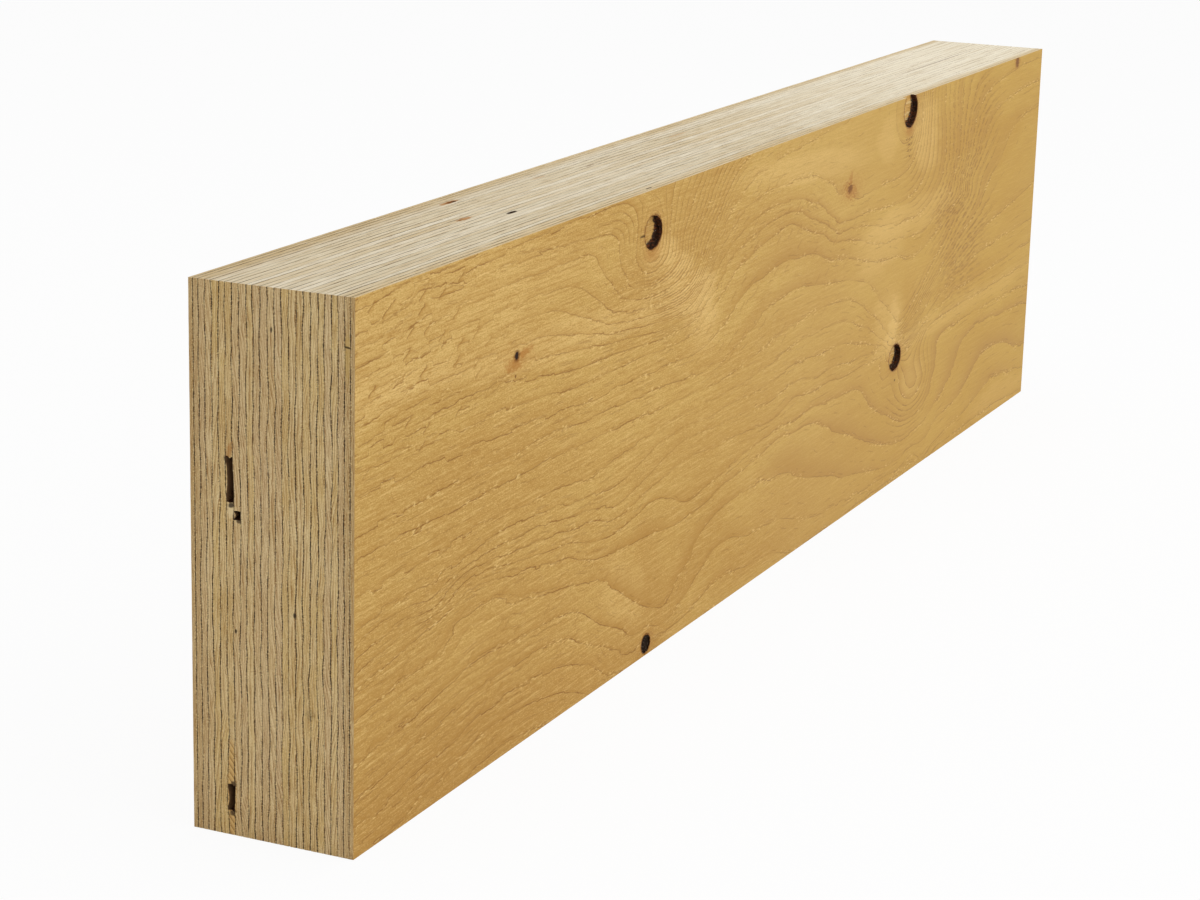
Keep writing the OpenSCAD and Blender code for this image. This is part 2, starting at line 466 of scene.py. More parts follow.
class Graph:
    """Adds nodes to a tree and links them; a value, a colour or a wire may feed any input."""

    def __init__(self, tree):
        self.tree = tree
        self.wander = None

    def feed(self, socket, value):
        """Links a wire to an input, or sets a value or a colour on it."""
        if isinstance(value, Wire):
            self.tree.links.new(value.socket, socket)
        elif isinstance(value, Color):
            socket.default_value = linear(value)
        elif value is not None:
            socket.default_value = value

    def add(self, kind, inputs=None, **settings):
        """Adds a node with these settings, and feeds its inputs."""
        node = self.tree.nodes.new(kind)
        for name, value in settings.items():
            setattr(node, name, value)
        for name, value in (inputs or {}).items():
            self.feed(node.inputs[name], value)
        return node

    def value(self, kind, inputs=None, output=0, **settings):
        """Adds a node and returns one of its outputs."""
        return Wire(self, self.add(kind, inputs, **settings).outputs[output])

    def given(self):
        """The tree's own inputs by name."""
        sockets = self.add("NodeGroupInput").outputs
        return {socket.name: Wire(self, socket) for socket in sockets if socket.name}

    def give(self, value):
        """Feeds the tree's own output."""
        self.feed(self.add("NodeGroupOutput").inputs[0], value)

    def math(self, operation, first, second=None, third=None):
        """One step of arithmetic."""
        return self.value("ShaderNodeMath", {0: first, 1: second, 2: third}, operation=operation)

    def smooth(self, value, low, high, out_low=0.0, out_high=1.0, kind="SMOOTHSTEP"):
        """From out_low to out_high as the value goes from low to high."""
        return self.value("ShaderNodeMapRange",
                          {0: value, 1: low, 2: high, 3: out_low, 4: out_high},
                          interpolation_type=kind)

    def fade(self, value, low, high):
        """From 1 at low down to 0 at high."""
        return self.smooth(value, low, high, 1.0, 0.0)

    def between(self, share, first, last):
        """From the first value to the last as the share goes from 0 to 1."""
        return self.smooth(share, 0.0, 1.0, first, last)

    def vector(self, x, y, z):
        """Three values as one vector."""
        return self.value("ShaderNodeCombineXYZ", {0: x, 1: y, 2: z})

    def split(self, vector):
        """A vector's X, Y and Z."""
        parts = self.add("ShaderNodeSeparateXYZ", {0: vector}).outputs
        return [Wire(self, part) for part in parts]

    def scaled(self, vector, *scales):
        """A vector with X, Y and Z each times its own scale."""
        return self.value("ShaderNodeVectorMath", {0: vector, 1: scales}, operation="MULTIPLY")

    def noise(self, vector, detail=2.0, seed=0.0):
        """Noise in space; the seed may be a wire."""
        return self.value("ShaderNodeTexNoise",
                          {"Vector": vector, "W": seed, "Scale": 1.0, "Detail": detail},
                          noise_dimensions="4D")

    def grain(self, run, rise, length, height, detail=2.0, seed=0.0, rough=0.5):
        """Noise over a flat face, with cells of this length and height in mm."""
        u = self.math("MULTIPLY_ADD", run, 1 / length, 17.3 * seed)
        v = self.math("MULTIPLY_ADD", rise, 1 / height, 9.7 * seed)
        return self.value("ShaderNodeTexNoise",
                          {"Vector": self.vector(u, v, 0.0), "Scale": 1.0, "Detail": detail,
                           "Roughness": rough}, noise_dimensions="2D")

    def shake(self, run, rise, length, height, reach, detail, seed):
        """The same noise, about zero and times a reach in mm."""
        return (self.grain(run, rise, length, height, detail, seed) - 0.5) * reach

    def blend(self, share, first, second):
        """The first colour at a share of 0 and the second at 1."""
        return self.value("ShaderNodeMix", {0: share, 6: first, 7: second}, 2, data_type="RGBA",
                          clamp_factor=True)

    def coats(self, tone, *layers):
        """Lays colours over a tone one after another.

        A layer is a share from 0 to 1 and a colour. In place of the share it may have a
        value, where on it the layer begins, where it is full, and its share there.
        """
        for *spread, colour_over in layers:
            share = spread[0]
            if len(spread) > 1:
                value, begins, full, most_share = spread
                share = self.smooth(value, begins, full, 0.0, most_share)
            tone = self.blend(share, tone, colour_over)
        return tone

    def attribute(self, name, output="Fac"):
        """What the mesh stores under a name."""
        return self.value("ShaderNodeAttribute", None, output, attribute_name=name,
                          attribute_type="GEOMETRY")


def marks_vector(graph):
    """Object coordinates as mm along from the left end, back from the front face, and down."""
    place = graph.split(graph.value("ShaderNodeTexCoord", None, "Object"))
    return (place[0] - LOW.x) * TO_MM, (place[1] - LOW.y) * TO_MM, (HIGH.z - place[2]) * TO_MM


OVAL_INPUTS = ("Across", "Down", "Centre across", "Centre down", "Length", "Height", "Tilt")


def oval_group(name, more_inputs, inside):
    """Node group over a tilted oval that works out how far inside it a place is."""
    if name in bpy.data.node_groups:
        return bpy.data.node_groups[name]
    tree = bpy.data.node_groups.new(name, "ShaderNodeTree")
    for label in OVAL_INPUTS + more_inputs:
        tree.interface.new_socket(name=label, in_out="INPUT", socket_type="NodeSocketFloat")
    tree.interface.new_socket(name="Inside", in_out="OUTPUT", socket_type="NodeSocketFloat")
    graph = Graph(tree)
    given = graph.given()
    u = given["Across"] - given["Centre across"]
    v = given["Down"] - given["Centre down"]
    cosine = graph.math("COSINE", given["Tilt"])
    sine = graph.math("SINE", given["Tilt"])
    run = (u * cosine + v * sine) * 2.0 / given["Length"]
    rise = (v * cosine - u * sine) * 2.0 / given["Height"]
    graph.give(inside(graph, given, run * run + rise * rise))
    return tree


def ragged_inside(graph, given, square):
    """1 in the oval and 0 outside, over a ragged rim."""
    reach = graph.math("SQRT", square) + (given["Wander"] - 0.5) * given["Ragged"]
    return graph.fade(reach, 1.0 - given["Soft"], given["Soft"] + 1.0)


def soft_inside(graph, given, square):
    """1 in the middle of the oval, fading to 0 about its rim."""
    return graph.fade(square, 0.2, 1.7)


def spot(graph, across, down, centre, size, tilt=0.0, ragged=0.6, soft=0.25):
    """1 in a ragged oval and 0 outside; lengths are in mm and the tilt is in degrees."""
    if graph.wander is None:
        graph.wander = graph.grain(across, down, 2.9, 1.1, 2.0, 5.0)
    tree = oval_group("Ragged oval", ("Ragged", "Soft", "Wander"), ragged_inside)
    values = (across, down, *centre, *size, math.radians(tilt), ragged, soft, graph.wander)
    return graph.value("ShaderNodeGroup", dict(enumerate(values)), node_tree=tree)


def oval(graph, across, down, place):
    """A soft oval: centre along and down, length, height, tilt in degrees."""
    tree = oval_group("Soft oval", (), soft_inside)
    values = (across, down, *place[:4], math.radians(place[4]))
    return graph.value("ShaderNodeGroup", dict(enumerate(values)), node_tree=tree)


def new_material(name):
    """An empty wood material and its graph and shader."""
    material = bpy.data.materials.new(name)
    material.use_nodes = True
    tree = material.node_tree
    tree.nodes.clear()
    graph = Graph(tree)
    shader = graph.add("ShaderNodeBsdfPrincipled")
    graph.add("ShaderNodeOutputMaterial", {"Surface": Wire(graph, shader.outputs[0])})
    return material, graph, shader


def dress(graph, shader, tone, grain, roughness, mirror, height, strength):
    """Feeds a wood's colour, roughness, gloss and relief, whose height is in mm, to its shader."""
    bump = graph.value("ShaderNodeBump", {"Strength": strength, "Distance": MM, "Height": height})
    graph.feed(shader.inputs["Base Color"], tone)
    graph.feed(shader.inputs["Roughness"], graph.smooth(grain, 0.3, 0.7, *roughness))
    graph.feed(shader.inputs["Specular IOR Level"], mirror)
    graph.feed(shader.inputs["Normal"], bump)


# ------------------------------------------------------------------ materials

# Marks on the front face: along, down, length, height, tilt, colour, strength, ragged, soft
FACE_MARKS = (
    (142, 53.5, 26, 9, 8, "stain", 0.22, 1.8, 0.6),
    (139, 55, 14, 5.5, 0, "stain", 0.60, 2.0, 0.4),
    (149, 51, 15, 3.4, -8, "stain", 0.65, 1.6, 0.4),
    (141.3, 51.2, 6.0, 5.0, 0, "knot", 0.75, 0.7, 0.35),
    (141.3, 51, 3.4, 3.5, 0, "bark", 1.0, 0.4, 0.25),
    (140.5, 60, 1.7, 1.5, 0, "knot", 0.75, 0.5, 0.4),
    (558, 40.5, 32, 13, 0, "stain", 0.25, 2.2, 0.7),
    (556, 41, 18, 8, 15, "stain", 0.62, 2.4, 0.4),
    (556, 35, 4.5, 9, 20, "stain", 0.5, 1.6, 0.4),
    (555.5, 39.6, 7.0, 4.8, 0, "knot", 0.78, 1.2, 0.4),
    (861.3, 2, 11, 10, 0, "stain", 0.6, 1.0, 0.5),
    (861.3, 2.5, 6.5, 7, 0, "knot", 0.75, 0.8, 0.4),
    (272.5, 20.5, 6.5, 1.1, 0, "bark", 0.75, 0.5, 0.5),
    (285, 30.5, 17, 7, 0, "stain", 0.4, 1.0, 0.7),
    (653, 20.5, 13, 5, 0, "stain", 0.5, 1.2, 0.6),
    (648.5, 167.5, 2.2, 1.4, 0, "bark", 0.7, 0.4, 0.5),
)
# Rows of dark specks below the top knot hole: along, down, length, height
SPECK_ROWS = ((653, 24.5, 14, 1.6), (653.5, 28, 12, 1.4), (654, 31.5, 11, 1.3), (654, 35, 9, 1.2))
# Pale places on the front face, and painted sheen where its lustre catches the light round the
# knots: along, down, length, height, tilt, strength
PALE_AND_SHEEN_PATCHES = (
    (60, 20, 280, 56, 0, 0.35),
    (20, 42, 120, 16, 2, 0.45),
    (190, 53, 320, 18, 3, 0.45),
    (302, 33, 36, 18, 40, 0.55),
    (336, 60, 70, 30, 25, 0.90),
    (322, 48, 56, 24, 35, 0.80),
    (300, 44, 50, 30, 30, 0.40),
    (352, 84, 44, 16, 0, 0.30),
    (485, 18, 190, 15, 4, 0.45),
    (612, 80, 80, 36, 0, 0.45),
    (670, 72, 150, 20, -1, 0.50),
    (617, 22, 36, 30, 0, 0.45),
    (684, 27, 54, 38, 25, 0.80),
    (633, 130, 50, 40, 0, 0.45),
    (640, 134, 18, 34, 8, 0.90),
    (680, 172, 38, 28, 20, 0.45),
    (770, 146, 330, 13, -1, 0.40),
    (860, 222, 130, 16, 0, 0.40),
    (262, 190, 56, 30, 40, 0.35),
)
# Dark, shaded places on it: along, down, length, height, tilt, strength
DEEP_PATCHES = (
    (110, 226, 380, 52, 0, 0.70),
    (20, 205, 150, 70, 0, 0.40),
    (100, 84, 220, 26, 2, 0.40),
    (60, 130, 260, 90, 0, 0.25),
    (262, 37, 44, 24, 0, 0.35),
    (330, 206, 120, 22, -30, 0.50),
    (292, 188, 26, 60, -18, 0.45),
    (425, 218, 140, 18, 0, 0.35),
    (800, 40, 200, 18, 0, 0.55),
    (500, 120, 240, 60, 8, 0.20),
    (845, 53, 80, 24, -20, 0.45),
    (742, 66, 26, 110, 0, 0.30),
    (668, 126, 34, 40, 0, 0.30),
    (790, 24, 36, 60, 0, 0.30),
    (770, 128, 130, 15, 0, 0.40),
    (410, 88, 70, 11, -25, 0.35),
    (810, 70, 300, 110, 0, 0.28),
    (560, 205, 260, 40, 6, 0.25),
)
# Places where fine lines crowd round a knot: along, down, length, height, tilt
CROWDED_RINGS = (
    (318, 34, 92, 74, 20),
    (262, 12, 50, 26, 20),
    (350, 14, 120, 44, -20),
    (682, 30, 74, 84, 0),
    (676, 174, 84, 66, 0),
    (684, 126, 70, 28, -23),
)
# Places where dark bands stand across the beam
BANDED_RINGS = ((765, 60, 120, 150, 0), (60, 190, 260, 90, 0))
# Places where the late wood makes broad, dark arches
BOLD_RINGS = (
    (275, 182, 90, 80, 0),
    (360, 186, 110, 70, 0),
    (545, 178, 240, 60, 10),
    (830, 184, 200, 50, 0),
    (735, 172, 60, 60, 0),
    (470, 60, 200, 60, 0),
)
# Places where the knife ran smoothly, so lines are faint: along, down, length, height, tilt
CALM_PLACES = ((150, 34, 160, 50, 0), (340, 128, 170, 44, 0))
# Places where the knife broke out of the wood: along, down, length, height, tilt, share of hooks
HOOKED_PLACES = (
    (38, 34, 190, 90, 0, 1.0),
    (430, 60, 280, 120, 0, 0.45),
    (120, 180, 320, 70, 0, 0.45),
)


def ring_lines(graph, number, slope, line_width, steps):
    """Dark lines where a ring ends, 0 to 1, and how far through its ring a place is."""
    through = graph.math("FRACT", number * steps)
    nearest = graph.math("MINIMUM", through, 1.0 - through)
    return graph.fade(nearest / (slope * steps), 0.0, line_width), through


def torn_rings(graph, along, down, crowded):
    """Ring number where the knife has torn it to and fro, and its change per mm."""
    grain = partial(graph.grain, along, down)
    shake = partial(graph.shake, along, down)
    ring = graph.attribute("ring")
    change = graph.split(graph.attribute("ring_change", "Vector"))
    near_end = (graph.fade(along, 60.0, 210.0)
                * graph.smooth(down, 50.0, 110.0, 1.0, 0.3))
    calm = graph.between(crowded, 1.0, 0.35)
    torn = graph.smooth(grain(90, 26, 1, 14), 0.42, 0.62, 0.28, 0.95)
    amount = calm * (torn + near_end)
    # Broken fibres carry a line along the grain, by more where it crosses them
    jag = (shake(14, 1.2, 3.6, 1, 1)
           + shake(34, 5.0, 7.0, 1, 2))
    # Lines step across the grain where the knife jumped, and wander a little
    jump = graph.smooth(grain(20, 11, 0, 3), 0.47, 0.53, -0.5, 0.5)
    jump = jump * (near_end * 1.8 + 1.0)
    wander = shake(12, 7, 1.8, 2, 4)
    ragged = shake(3.4, 2.2, 0.9, 1, 19)
    across = (jump + wander) * amount + ragged
    number = ring + (change[0] * (jag * amount) + change[2] * across)
    slope = graph.math("SQRT", change[0] * change[0] + change[2] * change[2])
    return number, graph.math("MAXIMUM", slope, 0.02)


def most(graph, values):
    """The largest of several values."""
    top = values[0]
    for value in values[1:]:
        top = graph.math("MAXIMUM", top, value)
    return top


def masked(graph, along, down, places):
    """Where any of these soft ovals lies: along, down, length, height, tilt."""
    return most(graph, [oval(graph, along, down, place) for place in places])


def torn_hooks(graph, along, down):
    """Short steep strokes where the knife broke out of the wood, one to a cell, each with a
    painted shadow beside it.
    """
    cell_length = 15.0
    cell_height = 9.5
    u = along * (1 / cell_length)
    v = down * (1 / cell_height)
    cell = graph.add("ShaderNodeTexVoronoi", {"Vector": graph.vector(u, v, 0.0), "Scale": 1.0},
                     voronoi_dimensions="2D")
    middle = graph.split(Wire(graph, cell.outputs["Position"]))
    chance = graph.split(Wire(graph, cell.outputs["Color"]))[0]
    run = (u - middle[0]) * cell_length
    rise = (v - middle[1]) * cell_height
    away = graph.math("ABSOLUTE", rise)
    sweep = graph.math("SINE", rise * 1.1) * 1.5
    waver = graph.shake(along, down, 2.2, 1.6, 2.2, 1, 16)
    bent = run + rise * 0.6 + (sweep + waver)
    stroke = (graph.fade(graph.math("ABSOLUTE", bent), 0.15, 0.95)
              * graph.smooth(away, 1.0, 2.9, 0.75, 0.0))
    shadow = graph.smooth(bent, 0.2, 4.5, 0.6, 0.0) * graph.smooth(bent, -0.6, 0.2)
    shadow = shadow * graph.fade(away, 0.8, 3.6)
    places = most(graph, [oval(graph, along, down, place) * place[5] for place in HOOKED_PLACES])
    picked = graph.smooth(chance, 0.55, 0.61) * places
    return stroke * picked, shadow * picked


def ring_ink(graph, along, down):
    """Strength of the dark ring lines, depth of late wood with the painted shadow beside the torn
    hooks, and nearness to a main line.
    """
    grain = partial(graph.grain, along, down)
    crowded = masked(graph, along, down, CROWDED_RINGS)
    banded = masked(graph, along, down, BANDED_RINGS)
    number, slope = torn_rings(graph, along, down, crowded)
    main, through = ring_lines(graph, number, slope, 0.48, 1.0)
    halves = ring_lines(graph, number, slope, 0.45, 2.0)[0]
    close = ring_lines(graph, number, slope, 3.2, 1.0)[0]
    fine, through_fine = ring_lines(graph, number + 0.08, slope, 0.55, 3.0)
    extra, through_extra = ring_lines(graph, number, slope, 0.60, 4.0)
    columns = ring_lines(graph, number, slope, 1.5, 4.0)[0]
    hooks, hook_shadow = torn_hooks(graph, along, down)
    patchy = grain(38, 5, 2, 5)
    patchy_fine = grain(22, 3.4, 2, 6)
    left = graph.fade(along, 120.0, 480.0)
    faintest = graph.between(left, 0.12, 0.35)
    main = main * graph.smooth(patchy, 0.34, 0.62, faintest, 1.0)
    main = main * graph.between(left, 0.62, 1.0)
    halves = halves * (left * graph.smooth(patchy_fine, 0.50, 0.68, 0.0, 0.5))
    seen = graph.smooth(patchy_fine, 0.50, 0.70, 0.0, 0.42) + banded * 0.20
    fine = fine * (seen * graph.fade(crowded, 0.0, 0.7))
    extra = extra * (crowded * graph.smooth(patchy_fine, 0.36, 0.62, 0.12, 0.72))
    # Dotted columns where the bands stand across the beam
    dots = graph.smooth(grain(9, 2.4, 1, 20), 0.44, 0.60, 0.15, 1.0)
    columns = columns * dots * (banded * graph.between(left, 0.70, 0.12))
    calm = graph.between(masked(graph, along, down, CALM_PLACES), 1.0, 0.5)
    ink = most(graph, (main, halves, fine, extra, hooks, columns)) * calm
    # Late wood deepens slowly towards a ring's end
    bold = masked(graph, along, down, BOLD_RINGS)
    late = through_extra ** 2.0 * (crowded * 0.48) + through_fine ** 2.0 * (banded * 0.5)
    steps = through ** 3.0 * (graph.between(left, 0.25, 0.45) + bold * 0.6)
    return ink, late + (steps + hook_shadow), close * calm


def face_patches(graph, finish, along, down, tone):
    """Broad dark and pale places of the front face, with painted sheen in the pale ones round the
    knots; the face yellows towards the right.
    """
    shake = partial(graph.shake, along, down)
    run = along + shake(40, 12, 26.0, 2, 17)
    drop = down + shake(60, 14, 12.0, 2, 18)
    tone = graph.blend(graph.smooth(along, 640.0, 100.0, 0.0, 0.16), tone, finish.face_deep)
    for patches, tint in ((DEEP_PATCHES, finish.face_deep), (PALE_AND_SHEEN_PATCHES, finish.face_pale)):
        for patch in patches:
            tone = graph.blend(oval(graph, run, drop, patch) * patch[5], tone, tint)
    return graph.blend(graph.smooth(along, 250.0, 900.0, 0.0, 0.42), tone, finish.face_yellow)


def face_tone(graph, finish, along, down, on_front):
    """Colour of the peeled face before its ring lines, and its fibres."""
    grain = partial(graph.grain, along, down)
    deep = finish.face_deep
    fibre = grain(6.0, 0.42, 3, 7, 0.65)
    streak = grain(32, 1.2, 3, 8, 0.66)
    mottle = grain(1.3, 0.6, 2, 15)
    cloud = grain(130, 34, 2, 9)
    tone = graph.coats(finish.face, (cloud, 0.7, 0.3, 0.40, deep),
                       (down, 60.0, 231.0, 0.18, deep))
    if on_front:
        tone = face_patches(graph, finish, along, down, tone)
    # The grain's dark and pale streaks are stronger towards the left end
    left = graph.smooth(along, 150.0, 640.0, 1.7, 0.45)
    for fibres, dark_share, pale_share in ((streak, 0.48, 0.36), (mottle, 0.36, 0.30),
                                          (fibre, 0.30, 0.28)):
        darker = left * graph.smooth(fibres, 0.48, 0.74, 0.0, dark_share)
        paler = left * graph.smooth(fibres, 0.26, 0.48, pale_share, 0.0)
        tone = graph.coats(tone, (darker, deep), (paler, finish.face_pale))
    return tone, fibre * left


def stamp(graph, finish, run, rise, tone, marks, fade=None):
    """Lays marks over a tone, where they don't fade out."""
    for run_at, rise_at, length, height, tilt, tint, strength, ragged, soft in marks:
        inside = spot(graph, run, rise, (run_at, rise_at), (length, height), tilt, ragged, soft)
        if fade is not None:
            inside = inside * fade
        tone = graph.blend(inside * strength, tone, getattr(finish, tint))
    return tone


def in_mm_oval(settings, name):
    """Place and size of a knot or a void in mm."""
    return in_mm(getattr(settings, name + "_place")), in_mm(getattr(settings, name + "_size"))


def face_marks(graph, finish, knots, along, down, tone):
    """Knot rims, pin knots, stains and specks of the front face."""
    for name in KNOT_HOLES + DEAD_KNOTS:
        place, size = in_mm_oval(knots, name)
        halo = spot(graph, along, down, place, (size[0] + 7.0, size[1] + 5.0), 0.0, 0.5, 0.3)
        rim = spot(graph, along, down, place, (size[0] + 1.5, size[1] + 1.4), 0.0, 0.16, 0.06)
        tone = graph.coats(tone, (halo * 0.22, finish.stain), (rim * 0.8, finish.knot))
    tone = stamp(graph, finish, along, down, tone, FACE_MARKS)
    speck = graph.smooth(graph.grain(along, down, 1.6, 1.0, 1, 12), 0.45, 0.60)
    for along_at, down_at, length, height in SPECK_ROWS:
        row = spot(graph, along, down, (along_at, down_at), (length, height), 0.0, 0.5, 0.4)
        tone = graph.blend(row * speck * 0.85, tone, finish.knot)
    return tone


def face_wood(name, finish, knots, on_front):
    """Peeled and aged golden softwood, with ring lines read from the piece's own attribute."""
    material, graph, shader = new_material(name)
    along, _, down = marks_vector(graph)
    grain = partial(graph.grain, along, down)
    tone, fibre = face_tone(graph, finish, along, down, on_front)
    ink, late, close = ring_ink(graph, along, down)
    # Slivers that the knife lifted, pale, and nicks where one is gone, dark
    sliver = grain(4.0, 0.9, 1, 11)
    torn = graph.smooth(grain(30, 9, 2, 13), 0.46, 0.60) * close
    lifted = graph.smooth(sliver, 0.60, 0.68) * torn
    nicked = graph.smooth(sliver, 0.36, 0.28) * torn
    # The late wood layer also carries the painted shadow beside the torn hooks
    tone = graph.coats(tone, (late, finish.face_deep), (ink * 0.76, finish.face_line),
                       (lifted * 0.62, finish.face_sliver), (nicked * 0.42, finish.face_line))
    if on_front:
        tone = face_marks(graph, finish, knots, along, down, tone)
    dress(graph, shader, tone, fibre, (0.46, 0.62), finish.face_gloss, fibre * 0.012, 0.8)
    return material


def veneer_tint(graph):
    """A veneer's number, and two numbers from 0 to 1 that tell its log from the others."""
    number = graph.attribute("veneer")
    first = graph.math("FRACT", graph.math("SINE", number * 12.9898) * 437.5)
    second = graph.math("FRACT", graph.math("SINE", number * 78.233) * 193.7)
    return number, first, second


# Marks on the top edge: along, mm from the back face, and then as on the front face
TOP_MARKS = (
    (201.5, 10, 16, 3.2, 0, "stain", 0.75, 0.8, 0.28),
    (203, 10.4, 9, 2.4, 0, "knot", 0.9, 0.8, 0.28),
    (205, 10.6, 4, 1.4, 0, "bark", 0.8, 0.6, 0.28),
    (168.6, 34.4, 14, 3.2, 0, "stain", 0.75, 1.2, 0.28),
    (165, 34.4, 5, 1.6, 0, "knot", 0.6, 1.0, 0.28),
    (195, 45, 9, 2.4, 0, "bark", 1.0, 0.6, 0.28),
    (284, 15, 14, 2.4, 0, "stain", 0.30, 1.2, 0.28),
    (330, 20.6, 10, 1.6, 0, "knot", 0.5, 1.2, 0.28),
    (444, 18, 24, 2.2, 0, "stain", 0.35, 1.2, 0.28),
    (286, 71.4, 7, 1.1, 0, "bark", 0.85, 0.8, 0.28),
    (800, 38, 120, 1.6, 0, "knot", 0.38, 0.6, 0.28),
)


def edge_glue(graph, along, back, near, crisp):
    """Thin glue lines of the long edges, broken in places and bolder near the left end."""
    breaks = graph.grain(along, back, 22, 2.0, 3, 4, 0.6)
    width = graph.between(near, 0.22, 0.36)
    ink = (graph.fade(graph.attribute("glue_gap"), 0.06, width)
           * graph.smooth(breaks, 0.34, 0.58, 0.35, 1.0))
    return ink * (crisp * graph.between(near, 0.9, 1.0))


def edge_wood(finish):
    """Sawn long edges: pale veneers seen along their grain, with thin glue lines."""
    material, graph, shader = new_material("Sawn long edge")
    along, back, down = marks_vector(graph)
    grain = partial(graph.grain, along, back)
    from_back = THICKNESS / MM - back
    outer = graph.math("MINIMUM", back, from_back)
    _, first, second = veneer_tint(graph)
    gap = graph.attribute("glue_gap")
    fine = grain(16, 0.28, 3, 1, 0.6)
    broad = grain(75, 1.1, 2, 2)
    cloud = grain(130, 40, 2, 3)
    near = graph.fade(along, 40.0, 420.0)
    crisp = graph.smooth(along, 460.0, 800.0, 1.0, 0.35)
    tone = graph.coats(
        finish.edge,
        (graph.between(first, 0.0, 0.55), finish.edge_warm),
        (second, 0.3, 1.0, 0.65, finish.edge_light),
        (cloud, 0.35, 0.7, 0.35, finish.edge_cloud),
        (along, 400.0, 820.0, 0.85, finish.edge_far),
        (outer, 7.0, 1.5, 0.75, finish.edge_warm),
        (graph.smooth(from_back, 6.0, 18.0, 0.7, 0.0) * near, finish.edge_back),
        (broad, 0.45, 0.75, 0.5, finish.edge_band),
        (crisp * graph.smooth(fine, 0.5, 0.72, 0.0, 0.62), finish.edge_late),
        (crisp * graph.smooth(fine, 0.27, 0.46, 0.5, 0.0), finish.edge_early),
        (edge_glue(graph, along, back, near, crisp), finish.glue),
    )
    on_top = graph.fade(down, 3.0, 12.0)
    tone = stamp(graph, finish, along, from_back, tone, TOP_MARKS, on_top)
    height = fine * 0.14 - graph.smooth(gap, 0.06, 0.3, 0.12, 0.0)
    dress(graph, shader, tone, fine, (0.62, 0.8), finish.edge_gloss, height, 0.6)
    return material


# Marks on the left end: mm from the back face, down, and then as on the front face
END_MARKS = (
    (71.6, 24, 2.2, 18, 0, "face", 0.6, 0.8, 0.4),
    (71.8, 20, 3.2, 0.8, 8, "dead", 0.85, 0.4, 0.4),
    (37.7, 17, 0.9, 2.2, 0, "dead", 0.85, 0.6, 0.4),
    (48, 132, 1.4, 2.2, 0, "dead", 0.9, 0.6, 0.4),
    (20.7, 142.8, 1.2, 1.8, 0, "dead", 0.85, 0.6, 0.4),
    (55, 172.5, 3.5, 5, 0, "dead", 0.25, 1.2, 0.4),
    (18.2, 68.0, 2.4, 6.5, 12, "stain", 0.65, 0.9, 0.4),
    (16.9, 71.6, 2.6, 2.0, 20, "bark", 0.9, 1.0, 0.4),
    (18.6, 92.5, 2.8, 6, 0, "end_pale", 0.7, 0.8, 0.4),
    (18.9, 90.4, 2.8, 2.0, -15, "bark", 0.9, 0.8, 0.4),
    (22.4, 96.8, 2.4, 1.6, 30, "bark", 0.8, 1.2, 0.4),
    (19.3, 208.6, 2.6, 2.0, 10, "bark", 0.8, 1.2, 0.4),
    (18.6, 221.2, 2.8, 2.4, -10, "bark", 0.8, 1.4, 0.4),
)


def end_rings(graph, down, lane, local, first, second):
    """How far through its ring a place on an end is, and how dark its late wood is."""
    within = local + lane
    # Rings cross a veneer at a slant that differs from veneer to veneer
    leant = (first - 0.5) * 0.3 * down
    across = local + leant + graph.shake(lane, down, 1.0, 70, 9.0, 1, 1)
    across = across + graph.shake(within, down, 2.6, 15, 1.5, 2, 2)
    spacing = graph.between(second, 0.75, 1.7)
    through = graph.math("FRACT", across / spacing)
    clear = graph.smooth(graph.grain(within, down, 2.0, 24, 1, 10), 0.35, 0.6, 0.4, 1.0)
    return through, through ** 2.6 * clear


def end_glue(graph, finish, back, down, tone):
    """Glue lines of the ends: a thin thread with dark beads, and broken where glue is short."""
    grain = partial(graph.grain, back, down)
    gap = graph.attribute("glue_gap")
    ragged = grain(2.5, 1.2, 2, 6, 0.6)
    starved = grain(3.0, 16, 2, 9)
    thread = graph.fade(gap, 0.03, graph.smooth(ragged, 0.3, 0.7, 0.17, 0.38))
    thread = thread * graph.smooth(starved, 0.32, 0.62, 0.48, 1.0)
    beads = grain(3.0, 0.75, 1, 7)
    bead = graph.smooth(beads, 0.44, 0.53) * graph.fade(gap, 0.12, 0.42)
    bead = bead * graph.smooth(starved, 0.36, 0.58, 0.15, 1.0)
    rim = graph.fade(gap, 0.5, 0.9)
    fleck = graph.smooth(grain(0.9, 0.8, 1, 13), 0.60, 0.68) * rim
    check = graph.smooth(grain(2.4, 0.5, 1, 12), 0.66, 0.72) * (rim * 0.6)
    pit = graph.math("MAXIMUM", bead, check)
    return graph.coats(tone, (fleck * 0.8, finish.end_fleck), (thread, finish.glue),
                       (pit * 0.94, finish.bead))


